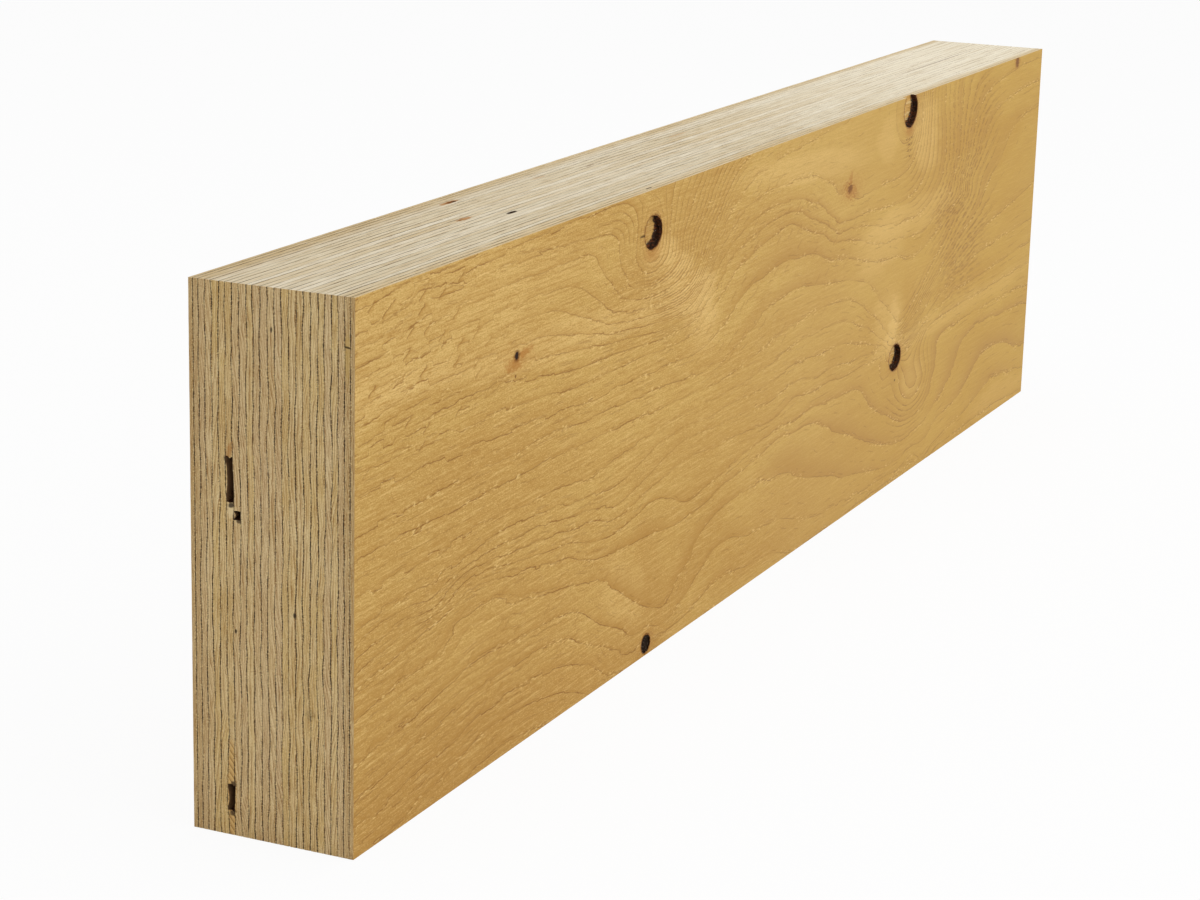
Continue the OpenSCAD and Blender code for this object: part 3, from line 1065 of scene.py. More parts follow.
def end_wood(finish):
    """Sawn end grain: rings cut across as slanted streaks, and pitted glue lines."""
    material, graph, shader = new_material("Sawn end grain")
    along, back, down = marks_vector(graph)
    from_back = THICKNESS / MM - back
    outer = graph.math("MINIMUM", back, from_back)
    on_left = graph.fade(along, 3.0, 12.0)
    number, first, second = veneer_tint(graph)
    lane = number * 5.0
    local = graph.attribute("across") * 3.2
    through, late = end_rings(graph, down, lane, local, first, second)
    grit = graph.grain(back, down, 0.34, 0.9, 3, 3, 0.65)
    long_grit = graph.grain(local + lane, down, 0.42, 9, 3, 4, 0.6)
    cloud = graph.grain(back, down, 16, 45, 2, 5)
    shift = graph.grain(lane, down, 1.0, 26, 2, 8)
    # Grain swirls round the lower void in the veneer that it opens
    swirl = graph.math("FRACT", (back + down * 0.8) / 2.6)
    honey = spot(graph, from_back, down, (18.4, 212), (4.2, 44), 0.0, 0.4, 0.15) * on_left
    swirled = graph.blend(swirl ** 2.0, finish.honey, finish.honey_ring)
    tone = graph.coats(
        finish.end,
        (first, 0.4, 1.0, 0.8, finish.end_grey),
        (shift, 0.4, 0.65, 0.5, finish.end_pale),
        (cloud, 0.4, 0.7, 0.3, finish.end_cloud),
        (outer, 8.0, 1.0, 0.5, finish.end_outer),
        (through, 0.4, 0.0, 0.5, finish.end_pale),
        (late, finish.end_ring),
        (long_grit, 0.5, 0.70, 0.45, finish.end_ring),
        (long_grit, 0.46, 0.30, 0.55, finish.end_pale),
        (grit, 0.52, 0.72, 0.45, finish.end_ring),
        (grit, 0.44, 0.28, 0.40, finish.end_pale),
        (honey * 0.9, swirled),
    )
    tone = end_glue(graph, finish, back, down, tone)
    tone = stamp(graph, finish, from_back, down, tone, END_MARKS, on_left)
    sunk = graph.smooth(graph.attribute("glue_gap"), 0.05, 0.35, 0.16, 0.0)
    height = grit * 0.18 + long_grit * 0.12 - sunk
    dress(graph, shader, tone, grit, (0.7, 0.88), finish.end_gloss, height, 0.75)
    return material


def glued_face(finish):
    """Inner faces, soaked with dark resin; only the voids show them."""
    material, graph, shader = new_material("Glued face")
    graph.feed(shader.inputs["Base Color"], finish.resin)
    graph.feed(shader.inputs["Roughness"], 0.6)
    return material


def bark_wall(finish):
    """Ragged black and brown bark left on the walls of a knot hole."""
    material, graph, shader = new_material("Knot bark")
    along, back, down = marks_vector(graph)
    rough = graph.noise(graph.vector(along * 0.9, back * 0.35, down * 0.9), 4.0, 1.0)
    fine = graph.noise(graph.vector(along * 2.6, back * 0.9, down * 2.6), 3.0, 2.0)
    tone = graph.coats(finish.bark,
                       (rough, 0.42, 0.68, 0.8, finish.bark_red),
                       (fine, 0.6, 0.72, 0.55, finish.bark_grey),
                       (back, 0.5, 0.05, 0.6, finish.knot))
    height = rough * 0.5 + fine * 0.2
    dress(graph, shader, tone, rough, (0.7, 0.9), finish.bark_gloss, height, 0.8)
    return material


def clean_floor(graph, knots, name, along, down):
    """Where a hole's floor is bare wood; its lower right is left to the bark."""
    place, size = in_mm_oval(knots, name)
    centre = (place[0] - 0.13 * size[0], place[1] - 0.10 * size[1])
    return spot(graph, along, down, centre, (size[0] * 0.92, size[1] * 0.86), 0.0, 0.45, 0.12)


def hole_floor(finish, knots):
    """The second veneer where a knot hole bares it: golden, with bark left at the lower right."""
    material, graph, shader = new_material("Knot hole floor")
    along, _, down = marks_vector(graph)
    grain = partial(graph.grain, along, down)
    fibre = grain(9, 0.6, 3, 1, 0.6)
    strip = grain(16, 2.0, 2, 2)
    grit = grain(1.2, 0.8, 3, 3)
    flake = grain(3.2, 1.2, 2, 4)
    wood = graph.coats(finish.floor,
                       (fibre, 0.35, 0.7, 0.6, finish.floor_deep),
                       (strip, 0.52, 0.66, 0.6, finish.floor_pale),
                       (grit, 0.6, 0.72, 0.5, finish.floor_grit))
    crust = graph.coats(finish.bark,
                        (flake, 0.50, 0.66, 0.8, finish.crust_red),
                        (flake, 0.36, 0.26, 0.7, finish.crust_grey))
    clean = most(graph, [clean_floor(graph, knots, name, along, down) for name in KNOT_HOLES])
    tone = graph.blend(clean, crust, wood)
    height = fibre * 0.2 + strip * 0.35
    dress(graph, shader, tone, fibre, (0.6, 0.8), finish.floor_gloss, height, 0.8)
    return material


def dead_wood(finish):
    """Black knot wood with grey streaks across it, most at its lower left."""
    material, graph, shader = new_material("Dead knot wood")
    along, _, down = marks_vector(graph)
    check = graph.grain(along + down * 0.8, down - along * 0.7, 6, 0.9, 3, 1)
    lower = graph.smooth(down - along, -64.0, -60.0, 0.0, 1.0)
    grey = graph.smooth(check, 0.54, 0.66) * graph.between(lower, 0.25, 0.8)
    tone = graph.blend(grey, finish.dead, finish.dead_grey)
    dress(graph, shader, tone, check, (0.6, 0.85), finish.dead_gloss, check * 0.5, 0.9)
    return material


def wood_materials(scene):
    """Every wood finish by its short name, made once."""
    finish = scene.veneer_beam_finish
    knots = scene.veneer_beam_knots
    makers = {
        "Sawn long edge": partial(edge_wood, finish),
        "Sawn end grain": partial(end_wood, finish),
        "Glued face": partial(glued_face, finish),
        "Golden face wood": partial(face_wood, "Golden face wood", finish, knots, True),
        "Plain back wood": partial(face_wood, "Plain back wood", finish, knots, False),
        "Knot bark": partial(bark_wall, finish),
        "Knot hole floor": partial(hole_floor, finish, knots),
        "Dead knot wood": partial(dead_wood, finish),
    }
    return {name: bpy.data.materials.get(name) or make() for name, make in makers.items()}


# ------------------------------------------------------------------ veneer geometry

# Edges between faces that turn by more than this stay crisp
SHARP_ANGLE = math.radians(38)
# Points of neighbouring sides closer than this are one
WELD = 1e-5
# Noise keeps near its middle, and this spreads it over a span of about one
SPREAD = 2.6
# Seeds of neighbouring glue lines lie this far apart
SEED_STEP = 7.31
# A face looks along an axis when its normal has at least this much of it
FACING = 0.7

VENEER_INPUTS = (
    ("Length", "Float"), ("Depth", "Float"), ("Thickness", "Float"), ("Front", "Float"),
    ("Edge step", "Float"), ("End step", "Float"), ("Cells across", "Int"),
    ("Front wave", "Float"), ("Back wave", "Float"),
    ("Front seed", "Float"), ("Back seed", "Float"),
    ("Front bow", "Float"), ("Back bow", "Float"),
    ("Front groove", "Float"), ("Back groove", "Float"), ("Saw marks", "Float"),
    ("Show front", "Bool"), ("Show back", "Bool"), ("Veneer", "Float"),
    ("Edge material", "Material"), ("End material", "Material"), ("Face material", "Material"),
)


def grid(graph, size, counts, turn, place, flip):
    """One side of a veneer as a grid, turned and put in place."""
    mesh = graph.value("GeometryNodeMeshGrid", dict(enumerate(size + counts)))
    side = graph.value("GeometryNodeTransform",
                       {"Geometry": mesh, "Translation": place, "Rotation": turn})
    return graph.value("GeometryNodeFlipFaces", {"Mesh": side}) if flip else side


def shown(graph, geometry, show):
    """The geometry where show is true, and nothing otherwise."""
    return graph.value("GeometryNodeSwitch", {"Switch": show, "True": geometry},
                       input_type="GEOMETRY")


def store(graph, geometry, name, value, kind="FLOAT"):
    """The geometry with a value stored on every point."""
    return graph.value("GeometryNodeStoreNamedAttribute",
                       {"Geometry": geometry, "Name": name, "Value": value}, data_type=kind,
                       domain="POINT")


def moved(graph, geometry, offset):
    """The geometry with every point moved by its offset."""
    return graph.value("GeometryNodeSetPosition", {"Geometry": geometry, "Offset": offset})


def painted(graph, geometry, material, selection=None):
    """The geometry with a material on the selected faces, or on all."""
    return graph.value("GeometryNodeSetMaterial",
                       {"Geometry": geometry, "Selection": selection, "Material": material})


def veneer_sides(graph, given):
    """The four sawn sides of a veneer and the faces that show, joined where they meet."""
    front = given["Front"]
    half = given["Length"] * 0.5
    half_depth = given["Depth"] * 0.5
    middle = front + given["Thickness"] * 0.5
    back = front + given["Thickness"]
    count_long = graph.math("CEIL", given["Length"] / given["Edge step"]) + 1.0
    count_deep = graph.math("CEIL", given["Depth"] / given["End step"]) + 1.0
    count_across = given["Cells across"] + 1.0
    edge = ((given["Length"], given["Thickness"]), (count_long, count_across), (0.0, 0.0, 0.0))
    end = ((given["Depth"], given["Thickness"]), (count_deep, count_across),
           (0.0, math.pi / 2, 0.0))
    face = ((given["Length"], given["Depth"]), (count_long, count_deep), (math.pi / 2, 0.0, 0.0))
    front_face = grid(graph, *face, graph.vector(0.0, front, half_depth), False)
    back_face = grid(graph, *face, graph.vector(0.0, back, half_depth), True)
    join = graph.add("GeometryNodeJoinGeometry")
    for side in (
            grid(graph, *edge, graph.vector(0.0, middle, given["Depth"]), False),
            grid(graph, *edge, graph.vector(0.0, middle, 0.0), True),
            grid(graph, *end, graph.vector(half, middle, half_depth), False),
            grid(graph, *end, graph.vector(half * -1.0, middle, half_depth), True),
            shown(graph, front_face, given["Show front"]),
            shown(graph, back_face, given["Show back"])):
        graph.feed(join.inputs[0], side)
    return graph.value("GeometryNodeMergeByDistance",
                       {"Geometry": Wire(graph, join.outputs[0]), "Distance": WELD})


def glue_gap(graph, given, across):
    """Millimetres from the nearer glue line; a shown face without a groove has none."""
    far = 9.0
    no_front = graph.smooth(given["Front groove"], 0.0, 1e-6, far, 0.0)
    no_back = graph.smooth(given["Back groove"], 0.0, 1e-6, far, 0.0)
    inside = graph.math("MINIMUM", across + no_front, 1.0 - across + no_back)
    return inside * given["Thickness"] * TO_MM


def outward(graph, given, place):
    """Which way each place on the rim looks out: +1, 0 or -1 along X and along Z."""
    half = given["Length"] * 0.5
    out_x = (graph.math("GREATER_THAN", place[0], half - WELD)
             - graph.math("LESS_THAN", place[0], half * -1.0 + WELD))
    out_z = (graph.math("GREATER_THAN", place[2], given["Depth"] - WELD)
             - graph.math("LESS_THAN", place[2], WELD))
    return graph.vector(out_x, 0.0, out_z)


def wave_at(graph, place, given, side):
    """How far a glue line wanders here: long waves along the grain, shorter ones down."""
    alone = graph.noise(graph.vector(place[0] * (1 / 0.085), 0.0, place[2] * (1 / 0.020)), 4.0,
                        given[side + " seed"])
    together = graph.noise(graph.vector(place[0] * (1 / 0.25), 0.0, place[2] * (1 / 0.055)), 1.0,
                           3.0)
    return ((alone - 0.5) * (given[side + " wave"] * SPREAD)
            + (together - 0.5) * (given[side + " bow"] * SPREAD))


def saw_sink(graph, given, position, across):
    """The saw scores every edge a little, and tears the brittle glue lines more."""
    fine = graph.noise(graph.scaled(position, 1 / 0.012, 1 / 0.0006, 1 / 0.012), 2.0, 4.0)
    torn = graph.noise(graph.scaled(position, 1 / 0.004, 1 / 0.0015, 1 / 0.0022), 1.0, 5.0)
    groove = (given["Front groove"] * graph.fade(across, 0.0, 0.12)
              + given["Back groove"] * graph.smooth(across, 0.88, 1.0))
    return (groove * graph.smooth(torn, 0.35, 0.75, 0.3, 2.2)
            + given["Saw marks"] * graph.smooth(fine, 0.2, 0.8))


def veneer_tree():
    """Geometry Nodes tree for the sawn rim of one veneer and, if it is shown, its face."""
    tree = bpy.data.node_groups.new("Sawn veneer", "GeometryNodeTree")
    tree.interface.new_socket(name="Geometry", in_out="INPUT", socket_type="NodeSocketGeometry")
    for label, kind in VENEER_INPUTS:
        tree.interface.new_socket(name=label, in_out="INPUT", socket_type="NodeSocket" + kind)
    tree.interface.new_socket(name="Geometry", in_out="OUTPUT", socket_type="NodeSocketGeometry")
    graph = Graph(tree)
    given = graph.given()
    geometry = veneer_sides(graph, given)
    position = graph.value("GeometryNodeInputPosition")
    place = graph.split(position)
    across = (place[1] - given["Front"]) / given["Thickness"]
    geometry = store(graph, geometry, "across", across)
    geometry = store(graph, geometry, "veneer", given["Veneer"])
    geometry = store(graph, geometry, "glue_gap", glue_gap(graph, given, across))
    geometry = store(graph, geometry, "outward", outward(graph, given, place), "FLOAT_VECTOR")
    wave = ((1.0 - across) * wave_at(graph, place, given, "Front")
            + across * wave_at(graph, place, given, "Back"))
    geometry = moved(graph, geometry, graph.vector(0.0, wave, 0.0))
    out = graph.value("GeometryNodeInputNamedAttribute", {"Name": "outward"},
                      data_type="FLOAT_VECTOR")
    inward = saw_sink(graph, given, position, across) * -1.0
    push = graph.value("ShaderNodeVectorMath", {0: out, "Scale": inward}, operation="SCALE")
    geometry = moved(graph, geometry, push)
    geometry = graph.value("GeometryNodeRealizeInstances", {0: geometry})
    normal = graph.split(graph.value("GeometryNodeInputNormal"))
    looks_along = graph.math("GREATER_THAN", graph.math("ABSOLUTE", normal[0]), FACING)
    looks_up = graph.math("GREATER_THAN", graph.math("ABSOLUTE", normal[2]), FACING)
    geometry = painted(graph, geometry, given["Face material"])
    geometry = painted(graph, geometry, given["Edge material"], looks_up)
    geometry = painted(graph, geometry, given["End material"], looks_along)
    graph.give(geometry)
    return tree


def sawn_tree():
    """The veneers' tree, made once."""
    return bpy.data.node_groups.get("Sawn veneer") or veneer_tree()


def make_plain(piece):
    """Turns what the modifiers make into the piece's own plain mesh."""
    depsgraph = bpy.context.evaluated_depsgraph_get()
    mesh = bpy.data.meshes.new_from_object(piece.evaluated_get(depsgraph), depsgraph=depsgraph)
    mesh.name = piece.name
    if mesh.materials and mesh.materials[0] is None:
        mesh.materials.pop(index=0)
    piece.modifiers.clear()
    piece.data = mesh


def rim_mesh(name, tree, values):
    """A piece with its rim, made by the tree with these values for its inputs."""
    piece = bpy.data.objects.new(name, bpy.data.meshes.new(name))
    bpy.context.scene.collection.objects.link(piece)
    modifier = piece.modifiers.new("Sawn veneer", "NODES")
    modifier.node_group = tree
    sockets = {item.name: item.identifier for item in tree.interface.items_tree
               if item.in_out == "INPUT"}
    for label, value in values.items():
        modifier[sockets[label]] = value
    make_plain(piece)
    return piece


def rim_loops(mesh_data):
    """The open loops of the rim, each as its vertices in order."""
    open_edges = [edge for edge in mesh_data.edges if edge.is_boundary]
    nexts = {}
    for edge in open_edges:
        loop = edge.link_loops[0]
        nexts[loop.link_loop_next.vert] = loop.vert
    loops = []
    while nexts:
        start = next(iter(nexts))
        loop = [start]
        step = nexts.pop(start)
        while step is not start:
            loop.append(step)
            step = nexts.pop(step)
        loops.append(loop)
    return loops


def close_glued_faces(piece, flat_front, flat_back, inset, material_index):
    """Closes the glued faces: a ring that evens out the waves, then a flat face."""
    mesh = bmesh.new()
    mesh.from_mesh(piece.data)
    across = mesh.verts.layers.float["across"]
    centre_z = DEPTH / 2
    scale_x = 1 - inset / (LENGTH / 2)
    scale_z = 1 - inset / (DEPTH / 2)
    for loop in rim_loops(mesh):
        level = flat_front if loop[0][across] < 0.5 else flat_back
        share = loop[0][across]
        inner = []
        for vert in loop:
            place = (vert.co.x * scale_x, level, centre_z + (vert.co.z - centre_z) * scale_z)
            inner.append(mesh.verts.new(place, vert))
            inner[-1][across] = share
        for k, vert in enumerate(loop):
            following = (k + 1) % len(loop)
            face = mesh.faces.new((vert, loop[following], inner[following], inner[k]))
            face.material_index = material_index
            face.smooth = True
        mesh.faces.new(inner).material_index = material_index
    wide = [face for face in mesh.faces if len(face.verts) > 4]
    bmesh.ops.triangulate(mesh, faces=wide, quad_method="BEAUTY", ngon_method="EAR_CLIP")
    mesh.to_mesh(piece.data)
    mesh.free()


def bend_room(line):
    """The glue lines between the thin outer veneers have less room to wander."""
    least = 0.25
    more_each = 0.2
    from_face = min(line, len(VENEER_NODES) - line)
    return min(1.0, least + more_each * from_face)


def veneer_values(scene, place, materials):
    """Inputs of the tree for the veneer at this place, counted from the front."""
    shape = scene.veneer_beam_shape
    low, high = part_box(VENEER_NODES[place])
    last = len(VENEER_NODES) - 1
    is_front = place == 0
    is_back = place == last
    is_face = is_front or is_back
    face_step = shape.front_step if is_front else shape.back_step
    values = {
        "Length": LENGTH, "Depth": DEPTH, "Thickness": high[1] - low[1], "Front": low[1],
        "Edge step": face_step if is_face else shape.edge_step,
        "End step": face_step if is_face else shape.end_step,
        "Cells across": shape.face_cells if is_face else shape.cells_across,
        "Saw marks": shape.saw_marks, "Show front": is_front, "Show back": is_back,
        "Veneer": float(place + 1),
        "Edge material": materials["Sawn long edge"],
        "End material": materials["Sawn end grain"],
        "Face material": materials["Plain back wood" if is_back else "Golden face wood"],
    }
    for side, line in (("Front", place), ("Back", place + 1)):
        # The face veneers' glue lines stay flat, and the others bow most in the middle
        waves = 2 <= line < last
        values[side + " wave"] = shape.glue_wave * bend_room(line) * waves
        values[side + " bow"] = shape.stack_bow * math.sin(math.pi * line / (last + 1)) * waves
        values[side + " seed"] = SEED_STEP * line
        values[side + " groove"] = shape.glue_groove if 0 < line <= last else 0.0
    return values


def slot_index(piece, material):
    """The piece's slot for a material, added if it is missing."""
    names = [slot.name if slot else "" for slot in piece.data.materials]
    if material.name not in names:
        piece.data.materials.append(material)
        names.append(material.name)
    return names.index(material.name)


def make_veneer(scene, place, extra_materials=()):
    """One veneer, closed and at its place in the stack, and its slots by material."""
    materials = wood_materials(scene)
    values = veneer_values(scene, place, materials)
    front = values["Front"]
    piece = rim_mesh(VENEER_NODES[place].replace("veneer", "ply"), sawn_tree(), values)
    slots = {name: slot_index(piece, materials[name])
             for name in ("Glued face", *extra_materials)}
    close_glued_faces(piece, front, front + values["Thickness"],
                      scene.veneer_beam_shape.cap_inset, slots["Glued face"])
    return piece, slots


def finish_veneer(piece, place):
    """Shades the piece, hangs it on the root body and hides the CAD part that it stands for."""
    mesh = piece.data
    mesh.shade_smooth()
    mesh.set_sharp_from_angle(angle=SHARP_ANGLE)
    node = VENEER_NODES[place]
    is_face = node in (FRONT_NODE, BACK_NODE)
    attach(piece, "root")
    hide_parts(node)


# ------------------------------------------------------------------ knot holes and voids

RIM_SIDES = 96
RIM_LOBES = 3
RIM_WOBBLE = 0.025
# A rim walks round a circle in the noise, so that its ends meet, and on along it with depth
RIM_WALK = 3.1
DEPTH_WALK = 0.9
# How far the walls of a knot hole and of a void stray from their oval, in mm
KNOT_RAGGED = 0.55
VOID_RAGGED = 1.2


def rim_place(turn, size):
    """A point on the rim of a knot hole, from its middle, in mm along and up."""
    share = 1 + RIM_WOBBLE * math.cos(RIM_LOBES * turn)
    return share * size[0] / 2 * math.cos(turn), share * size[1] / 2 * math.sin(turn)


def soft_noise(x, y, z):
    """Noise of three octaves, about zero."""
    return noise.fractal(Vector((x, y, z)), 1.0, 2.0, 3)


def oval_cutter(name, middle, size, front, back, ragged, seed, materials, wall, floor, bulge=0.0,
                layers=9):
    """A ragged oval plug from front to back, whose walls and floor wear their own finish."""
    mesh = bmesh.new()
    centre_x, centre_z = from_marks(*middle)
    rings = []
    for layer in range(layers):
        y = front + (back - front) * layer / (layers - 1)
        ring = []
        for side in range(RIM_SIDES):
            turn = side * math.tau / RIM_SIDES
            run, rise = rim_place(turn, size)
            lumps = soft_noise(RIM_WALK * math.cos(turn), RIM_WALK * math.sin(turn),
                               y / MM * DEPTH_WALK + seed)
            push = 1 + ragged / max(size) * 2 * lumps
            place = (centre_x + run * push * MM, y, centre_z + rise * push * MM)
            ring.append(mesh.verts.new(place))
        rings.append(ring)
    for near, far in zip(rings[:-1], rings[1:]):
        for side in range(RIM_SIDES):
            after = (side + 1) % RIM_SIDES
            mesh.faces.new((near[side], near[after], far[after], far[side])).material_index = wall
    mesh.faces.new(list(reversed(rings[0]))).material_index = wall
    add_floor(mesh, rings[-1], (centre_x, centre_z), seed, floor, bulge)
    mesh.normal_update()
    bmesh.ops.recalc_face_normals(mesh, faces=mesh.faces)
    data = bpy.data.meshes.new(name)
    mesh.to_mesh(data)
    mesh.free()
    for material in materials:
        data.materials.append(material)
    cutter = bpy.data.objects.new(name, data)
    bpy.context.scene.collection.objects.link(cutter)
    return cutter


def add_floor(mesh, rim, centre, seed, material_index, bulge, rings=7, height=0.22 * MM):
    """The torn floor of a hole: rings of cells with a little relief, bulging in its middle."""
    outer = rim
    for ring in range(1, rings):
        share = 1 - ring / rings
        inner = []
        for vert in rim:
            x = centre[0] + (vert.co.x - centre[0]) * share
            z = centre[1] + (vert.co.z - centre[1]) * share
            rise = soft_noise(x / MM * 0.12, seed, z / MM * 0.5)
            y = vert.co.y + height * rise - bulge * (1 - share ** 2)
            inner.append(mesh.verts.new((x, y, z)))
        for side in range(len(rim)):
            after = (side + 1) % len(rim)
            face = mesh.faces.new((outer[side], outer[after], inner[after], inner[side]))
            face.material_index = material_index
        outer = inner
    mesh.faces.new(outer).material_index = material_index


def copy_point_values(before, after, names):
    """Gives every point of a cut mesh the values of the nearest point before the cut."""
    tree = kdtree.KDTree(len(before.vertices))
    for vert in before.vertices:
        tree.insert(vert.co, vert.index)
    tree.balance()
    nearest = [tree.find(vert.co)[1] for vert in after.vertices]
    for name in names:
        source = np.empty(len(before.vertices))
        before.attributes[name].data.foreach_get("value", source)
        target = after.attributes.get(name) or after.attributes.new(name, "FLOAT", "POINT")
        target.data.foreach_set("value", source[nearest])


def cut(piece, cutters):
    """Cuts the plugs out of the piece, for good, and deletes them."""
    before = piece.data.copy()
    for cutter in cutters:
        modifier = piece.modifiers.new("Cut", "BOOLEAN")
        modifier.operation = "DIFFERENCE"
        modifier.solver = "MANIFOLD"
        modifier.object = cutter
    make_plain(piece)
    if len(piece.data.vertices) == 0:
        raise RuntimeError("The cut emptied " + piece.name)
    copy_point_values(before, piece.data, ("across", "veneer", "glue_gap"))
    for mesh in [before] + [cutter.data for cutter in cutters]:
        bpy.data.meshes.remove(mesh)


def knot_cutters(knots, piece, names, depth, wall, floor):
    """Plugs for these knots, down to a depth behind the front face."""
    cutters = []
    for count, name in enumerate(names):
        seed = 11.0 * count + 2
        place, size = in_mm_oval(knots, name)
        cutters.append(oval_cutter(name + "_plug", place, size, LOW.y - MM, LOW.y + depth,
                                   KNOT_RAGGED, seed, piece.data.materials, wall, floor))
    return cutters


def hole_depth(knots):
    """How far behind the front face the floors of the knot holes lie."""
    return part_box(FRONT_NODE)[1][1] - LOW.y + knots.pocket


def mouth_back(piece, place, size):
    """Where the veneer's back is in the left end, over the mouth of a void."""
    places = vertex_places(piece.data)
    across = np.empty(len(places))
    piece.data.attributes["across"].data.foreach_get("value", across)
    drop = as_down(places[:, 2]) - place[1]
    mouth = (places[:, 0] < LOW.x + MM) & (across > 0.99) & (np.abs(drop) < size[1] / 2)
    return float(places[mouth, 1].mean())


# ------------------------------------------------------------------ relief of the faces

def vertex_places(mesh):
    """Every vertex's place as an array of x, y, z."""
    places = np.empty(len(mesh.vertices) * 3)
    mesh.vertices.foreach_get("co", places)
    return places.reshape(-1, 3)


def store_rings(mesh, rings):
    """Writes the ring number and its change per mm onto the mesh for its material."""
    places = vertex_places(mesh)
    values = rings(np.c_[as_along(places[:, 0]), as_down(places[:, 2])])
    ring = mesh.attributes.new("ring", "FLOAT", "POINT")
    ring.data.foreach_set("value", values[:, 0])
    change = mesh.attributes.new("ring_change", "FLOAT_VECTOR", "POINT")
    vectors = np.c_[values[:, 1], np.zeros(len(values)), values[:, 2]]
    change.data.foreach_set("vector", vectors.ravel())


def press_relief(mesh, rings, face_y, inward, height):
    """Sinks a shown face into soft steps along its rings and a slow waviness."""
    places = vertex_places(mesh)
    on_face = np.nonzero(np.abs(places[:, 1] - face_y) < 0.02 * MM)[0]
    marks = np.c_[as_along(places[on_face, 0]), as_down(places[on_face, 2])]
    number = rings(marks)[:, 0]
    swell = np.array([soft_noise(a / 60, 0.0, d / 16) for a, d in marks])
    tooth = np.array([noise.noise(Vector((a / 7, 3.0, d / 2.2))) for a, d in marks])
    jitter = 0.15
    step_share = 0.15
    swell_share = 0.8
    tooth_share = 0.05
    step = (number + jitter * tooth) % 1.0
    sink = height * (step_share * step + swell_share * (swell + 1) / 2
                     + tooth_share * (tooth + 1) / 2)
    places[on_face, 1] += inward * np.clip(sink, 0.0, None)
    mesh.vertices.foreach_set("co", places.ravel())
    mesh.update()


# ------------------------------------------------------------------ operators

class VENEERBEAM_OT_front(bpy.types.Operator):
    """Builds the front veneer with its knot holes and its dead knot"""
    bl_idname = "veneer_beam.front"
    bl_label = "Front veneer"

    def execute(self, context):
        scene = context.scene
        knots = scene.veneer_beam_knots
        rings = partial(ring_numbers, plate=fit_rings(), crowding=knot_rings(knots))
        piece, slots = make_veneer(scene, 0, ("Knot bark", "Dead knot wood"))
        press_relief(piece.data, rings, LOW.y, 1.0, scene.veneer_beam_shape.face_relief)
        bark = slots["Knot bark"]
        dead = slots["Dead knot wood"]
        cutters = knot_cutters(knots, piece, KNOT_HOLES, hole_depth(knots), bark, bark)
        cutters += knot_cutters(knots, piece, DEAD_KNOTS, knots.dead_sink, dead, dead)
        cut(piece, cutters)
        store_rings(piece.data, rings)
        finish_veneer(piece, 0)
        return {"FINISHED"}


class VENEERBEAM_OT_core(bpy.types.Operator):
    """Builds the inner veneers, the second with the floors of the knot holes"""
    bl_idname = "veneer_beam.core"
    bl_label = "Core veneers"

    def execute(self, context):
        scene = context.scene
        voids = scene.veneer_beam_voids
        last = len(VENEER_NODES)
        opened = {}
        for from_back, names in ((voids.slot_veneer, ("upper", "lower")),
                                 (voids.small_veneer, ("small",))):
            opened[last - from_back] = opened.get(last - from_back, ()) + names
        for place in range(1, last - 1):
            if place == 1:
                piece = self.second_veneer(scene, place)
            elif place in opened:
                piece = self.open_veneer(scene, place, opened[place])
            else:
                piece = make_veneer(scene, place)[0]
            finish_veneer(piece, place)
        return {"FINISHED"}

    def second_veneer(self, scene, place):
        """The veneer that the knot holes bare, with a shallow pocket behind each."""
        knots = scene.veneer_beam_knots
        piece, slots = make_veneer(scene, place, ("Knot bark", "Knot hole floor"))
        cut(piece, knot_cutters(knots, piece, KNOT_HOLES, hole_depth(knots),
                                slots["Knot bark"], slots["Knot hole floor"]))
        return piece

    def open_veneer(self, scene, place, names):
        """A veneer with voids that open in the left end."""
        voids = scene.veneer_beam_voids
        shape = scene.veneer_beam_shape
        piece, slots = make_veneer(scene, place, ("Knot bark",))
        room = (shape.glue_wave + shape.stack_bow) * 2
        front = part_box(VENEER_NODES[place])[0][1] - room
        cutters = []
        for count, name in enumerate(names):
            middle, size = in_mm_oval(voids, name)
            # The plug's rim comes out of the back, and its bulging floor leaves some wood there
            past_back = 0.25 * voids.back_bulge
            back = mouth_back(piece, middle, size) + past_back
            cutters.append(oval_cutter(name + "_void", middle, size, front, back, VOID_RAGGED,
                                       5.0 + count, piece.data.materials, slots["Knot bark"],
                                       slots["Glued face"], voids.back_bulge))
        cut(piece, cutters)
        return piece


class VENEERBEAM_OT_back(bpy.types.Operator):
    """Builds the back veneer, whose face is plain"""
    bl_idname = "veneer_beam.back"
    bl_label = "Back veneer"

    def execute(self, context):
        scene = context.scene
        place = len(VENEER_NODES) - 1
        piece = make_veneer(scene, place)[0]
        press_relief(piece.data, plain_rings, HIGH.y, -1.0, scene.veneer_beam_shape.face_relief)
        store_rings(piece.data, plain_rings)
        finish_veneer(piece, place)
        return {"FINISHED"}


WHITE = (1.0, 1.0, 1.0, 1.0)
FLOOR_GREY = (0.86, 0.86, 0.86, 1.0)


class VENEERBEAM_OT_stage(bpy.types.Operator):
    """Sets the camera, the lamps, the even light and the floor"""
    bl_idname = "veneer_beam.stage"
    bl_label = "Stage"

    def execute(self, context):
        scene = context.scene
        settings = scene.veneer_beam_stage
        scene.view_settings.view_transform = "Standard"
        place_camera(scene, settings)
        for name in ("key", "front"):
            place_lamp(scene, settings, name)
        even_light(scene, settings.fill)
        make_floor(settings)
        return {"FINISHED"}


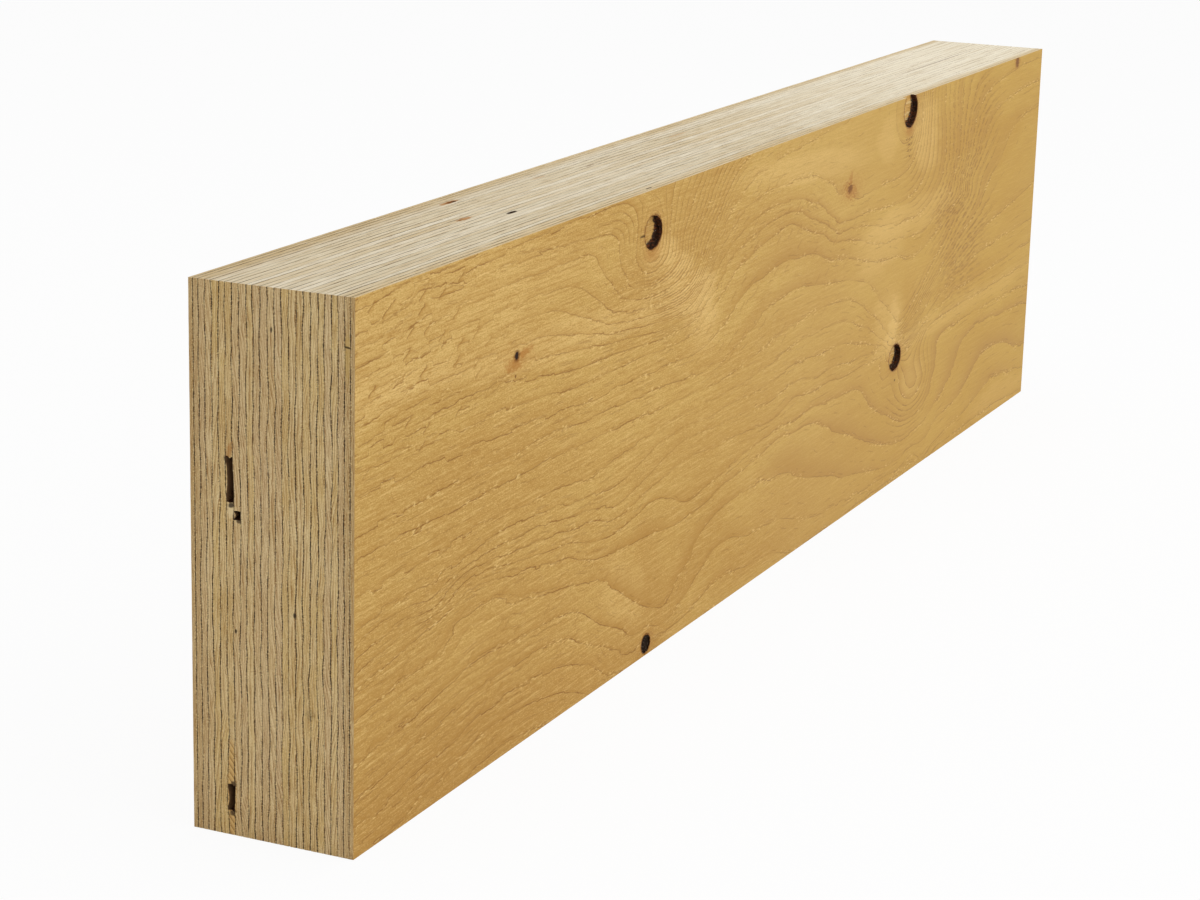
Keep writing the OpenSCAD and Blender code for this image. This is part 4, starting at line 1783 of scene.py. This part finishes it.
def place_camera(scene, settings):
    """The camera, at the place and along the direction of the settings."""
    camera = bpy.data.objects.new("Camera", bpy.data.cameras.new("Camera"))
    scene.collection.objects.link(camera)
    camera.data.lens = settings.lens
    camera.data.sensor_width = settings.sensor
    camera.data.sensor_fit = "HORIZONTAL"
    camera.data.clip_start = settings.clip_start
    forward = settings.camera_forward.normalized()
    right = forward.cross(settings.camera_up).normalized()
    up = right.cross(forward)
    turn = Matrix((right, up, -forward)).transposed()
    camera.matrix_world = Matrix.Translation(settings.camera_place) @ turn.to_4x4()
    scene.camera = camera


def place_lamp(scene, settings, name):
    """A round soft lamp that points at the beam."""
    lamp = bpy.data.objects.new(name.title(), bpy.data.lights.new(name.title(), "AREA"))
    scene.collection.objects.link(lamp)
    lamp.data.shape = "DISK"
    lamp.data.size = getattr(settings, name + "_size")
    lamp.data.energy = getattr(settings, name)
    lamp.location = getattr(settings, name + "_place")
    lamp.rotation_euler = (settings.lamp_aim - lamp.location).to_track_quat("-Z", "Y").to_euler()


def seen_directly(graph):
    """1 for rays from the camera and for reflections, 0 for light on the object."""
    outputs = graph.add("ShaderNodeLightPath").outputs
    kinds = ("Is Camera Ray", "Is Glossy Ray", "Is Transmission Ray")
    return most(graph, [Wire(graph, outputs[kind]) for kind in kinds])


def even_light(scene, strength):
    """A white surround that lights the object at a plain level."""
    world = bpy.data.worlds.new("Surround")
    scene.world = world
    world.use_nodes = True
    world.node_tree.nodes.clear()
    graph = Graph(world.node_tree)
    level = graph.smooth(seen_directly(graph), 0.0, 1.0, strength, 1.0, "LINEAR")
    back = graph.value("ShaderNodeBackground", {"Color": WHITE, "Strength": level})
    graph.add("ShaderNodeOutputWorld", {0: back})


def make_floor(settings):
    """A wide pale floor that fades into the white surround but keeps a soft shadow."""
    bpy.ops.mesh.primitive_grid_add(x_subdivisions=4, y_subdivisions=4, size=settings.floor_size)
    floor = bpy.context.object
    floor.name = "Floor"
    material = bpy.data.materials.new("Pale floor")
    material.use_nodes = True
    material.node_tree.nodes.clear()
    graph = Graph(material.node_tree)
    paint = graph.value("ShaderNodeBsdfDiffuse", {"Color": FLOOR_GREY})
    glow = graph.value("ShaderNodeEmission", {"Color": WHITE, "Strength": 1.0})
    share = graph.smooth(seen_directly(graph), 0.0, 1.0, 0.0, settings.floor_white, "LINEAR")
    mixed = graph.value("ShaderNodeMixShader", {0: share, 1: paint, 2: glow})
    graph.add("ShaderNodeOutputMaterial", {0: mixed})
    floor.data.materials.append(material)


class VENEERBEAM_PT_panel(bpy.types.Panel):
    """Sizes, colours and build steps of the beam"""
    bl_idname = "VENEERBEAM_PT_panel"
    bl_label = "Veneer beam"
    bl_space_type = "VIEW_3D"
    bl_region_type = "UI"
    bl_category = "Veneer beam"

    def draw(self, context):
        for operator in OPERATORS:
            self.layout.operator(operator.bl_idname)
        for name in SETTINGS:
            settings = getattr(context.scene, name)
            box = self.layout.box()
            for prop in settings.bl_rna.properties:
                if prop.identifier not in ("rna_type", "name"):
                    box.prop(settings, prop.identifier)


SETTINGS = {
    "veneer_beam_shape": VeneerBeamShape,
    "veneer_beam_knots": VeneerBeamKnots,
    "veneer_beam_voids": VeneerBeamVoids,
    "veneer_beam_finish": VeneerBeamFinish,
    "veneer_beam_stage": VeneerBeamStage,
}
OPERATORS = (VENEERBEAM_OT_stage, VENEERBEAM_OT_front, VENEERBEAM_OT_core, VENEERBEAM_OT_back)


def register():
    for name, group in SETTINGS.items():
        bpy.utils.register_class(group)
        setattr(bpy.types.Scene, name, PointerProperty(type=group))
    for operator in OPERATORS:
        bpy.utils.register_class(operator)
    bpy.utils.register_class(VENEERBEAM_PT_panel)


def unregister():
    bpy.utils.unregister_class(VENEERBEAM_PT_panel)
    for operator in reversed(OPERATORS):
        bpy.utils.unregister_class(operator)
    for name, group in reversed(SETTINGS.items()):
        delattr(bpy.types.Scene, name)
        bpy.utils.unregister_class(group)


def main():
    register()
    bpy.ops.veneer_beam.stage()
    bpy.ops.veneer_beam.front()
    bpy.ops.veneer_beam.core()
    bpy.ops.veneer_beam.back()
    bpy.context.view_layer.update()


if __name__ == "__main__":
    main()
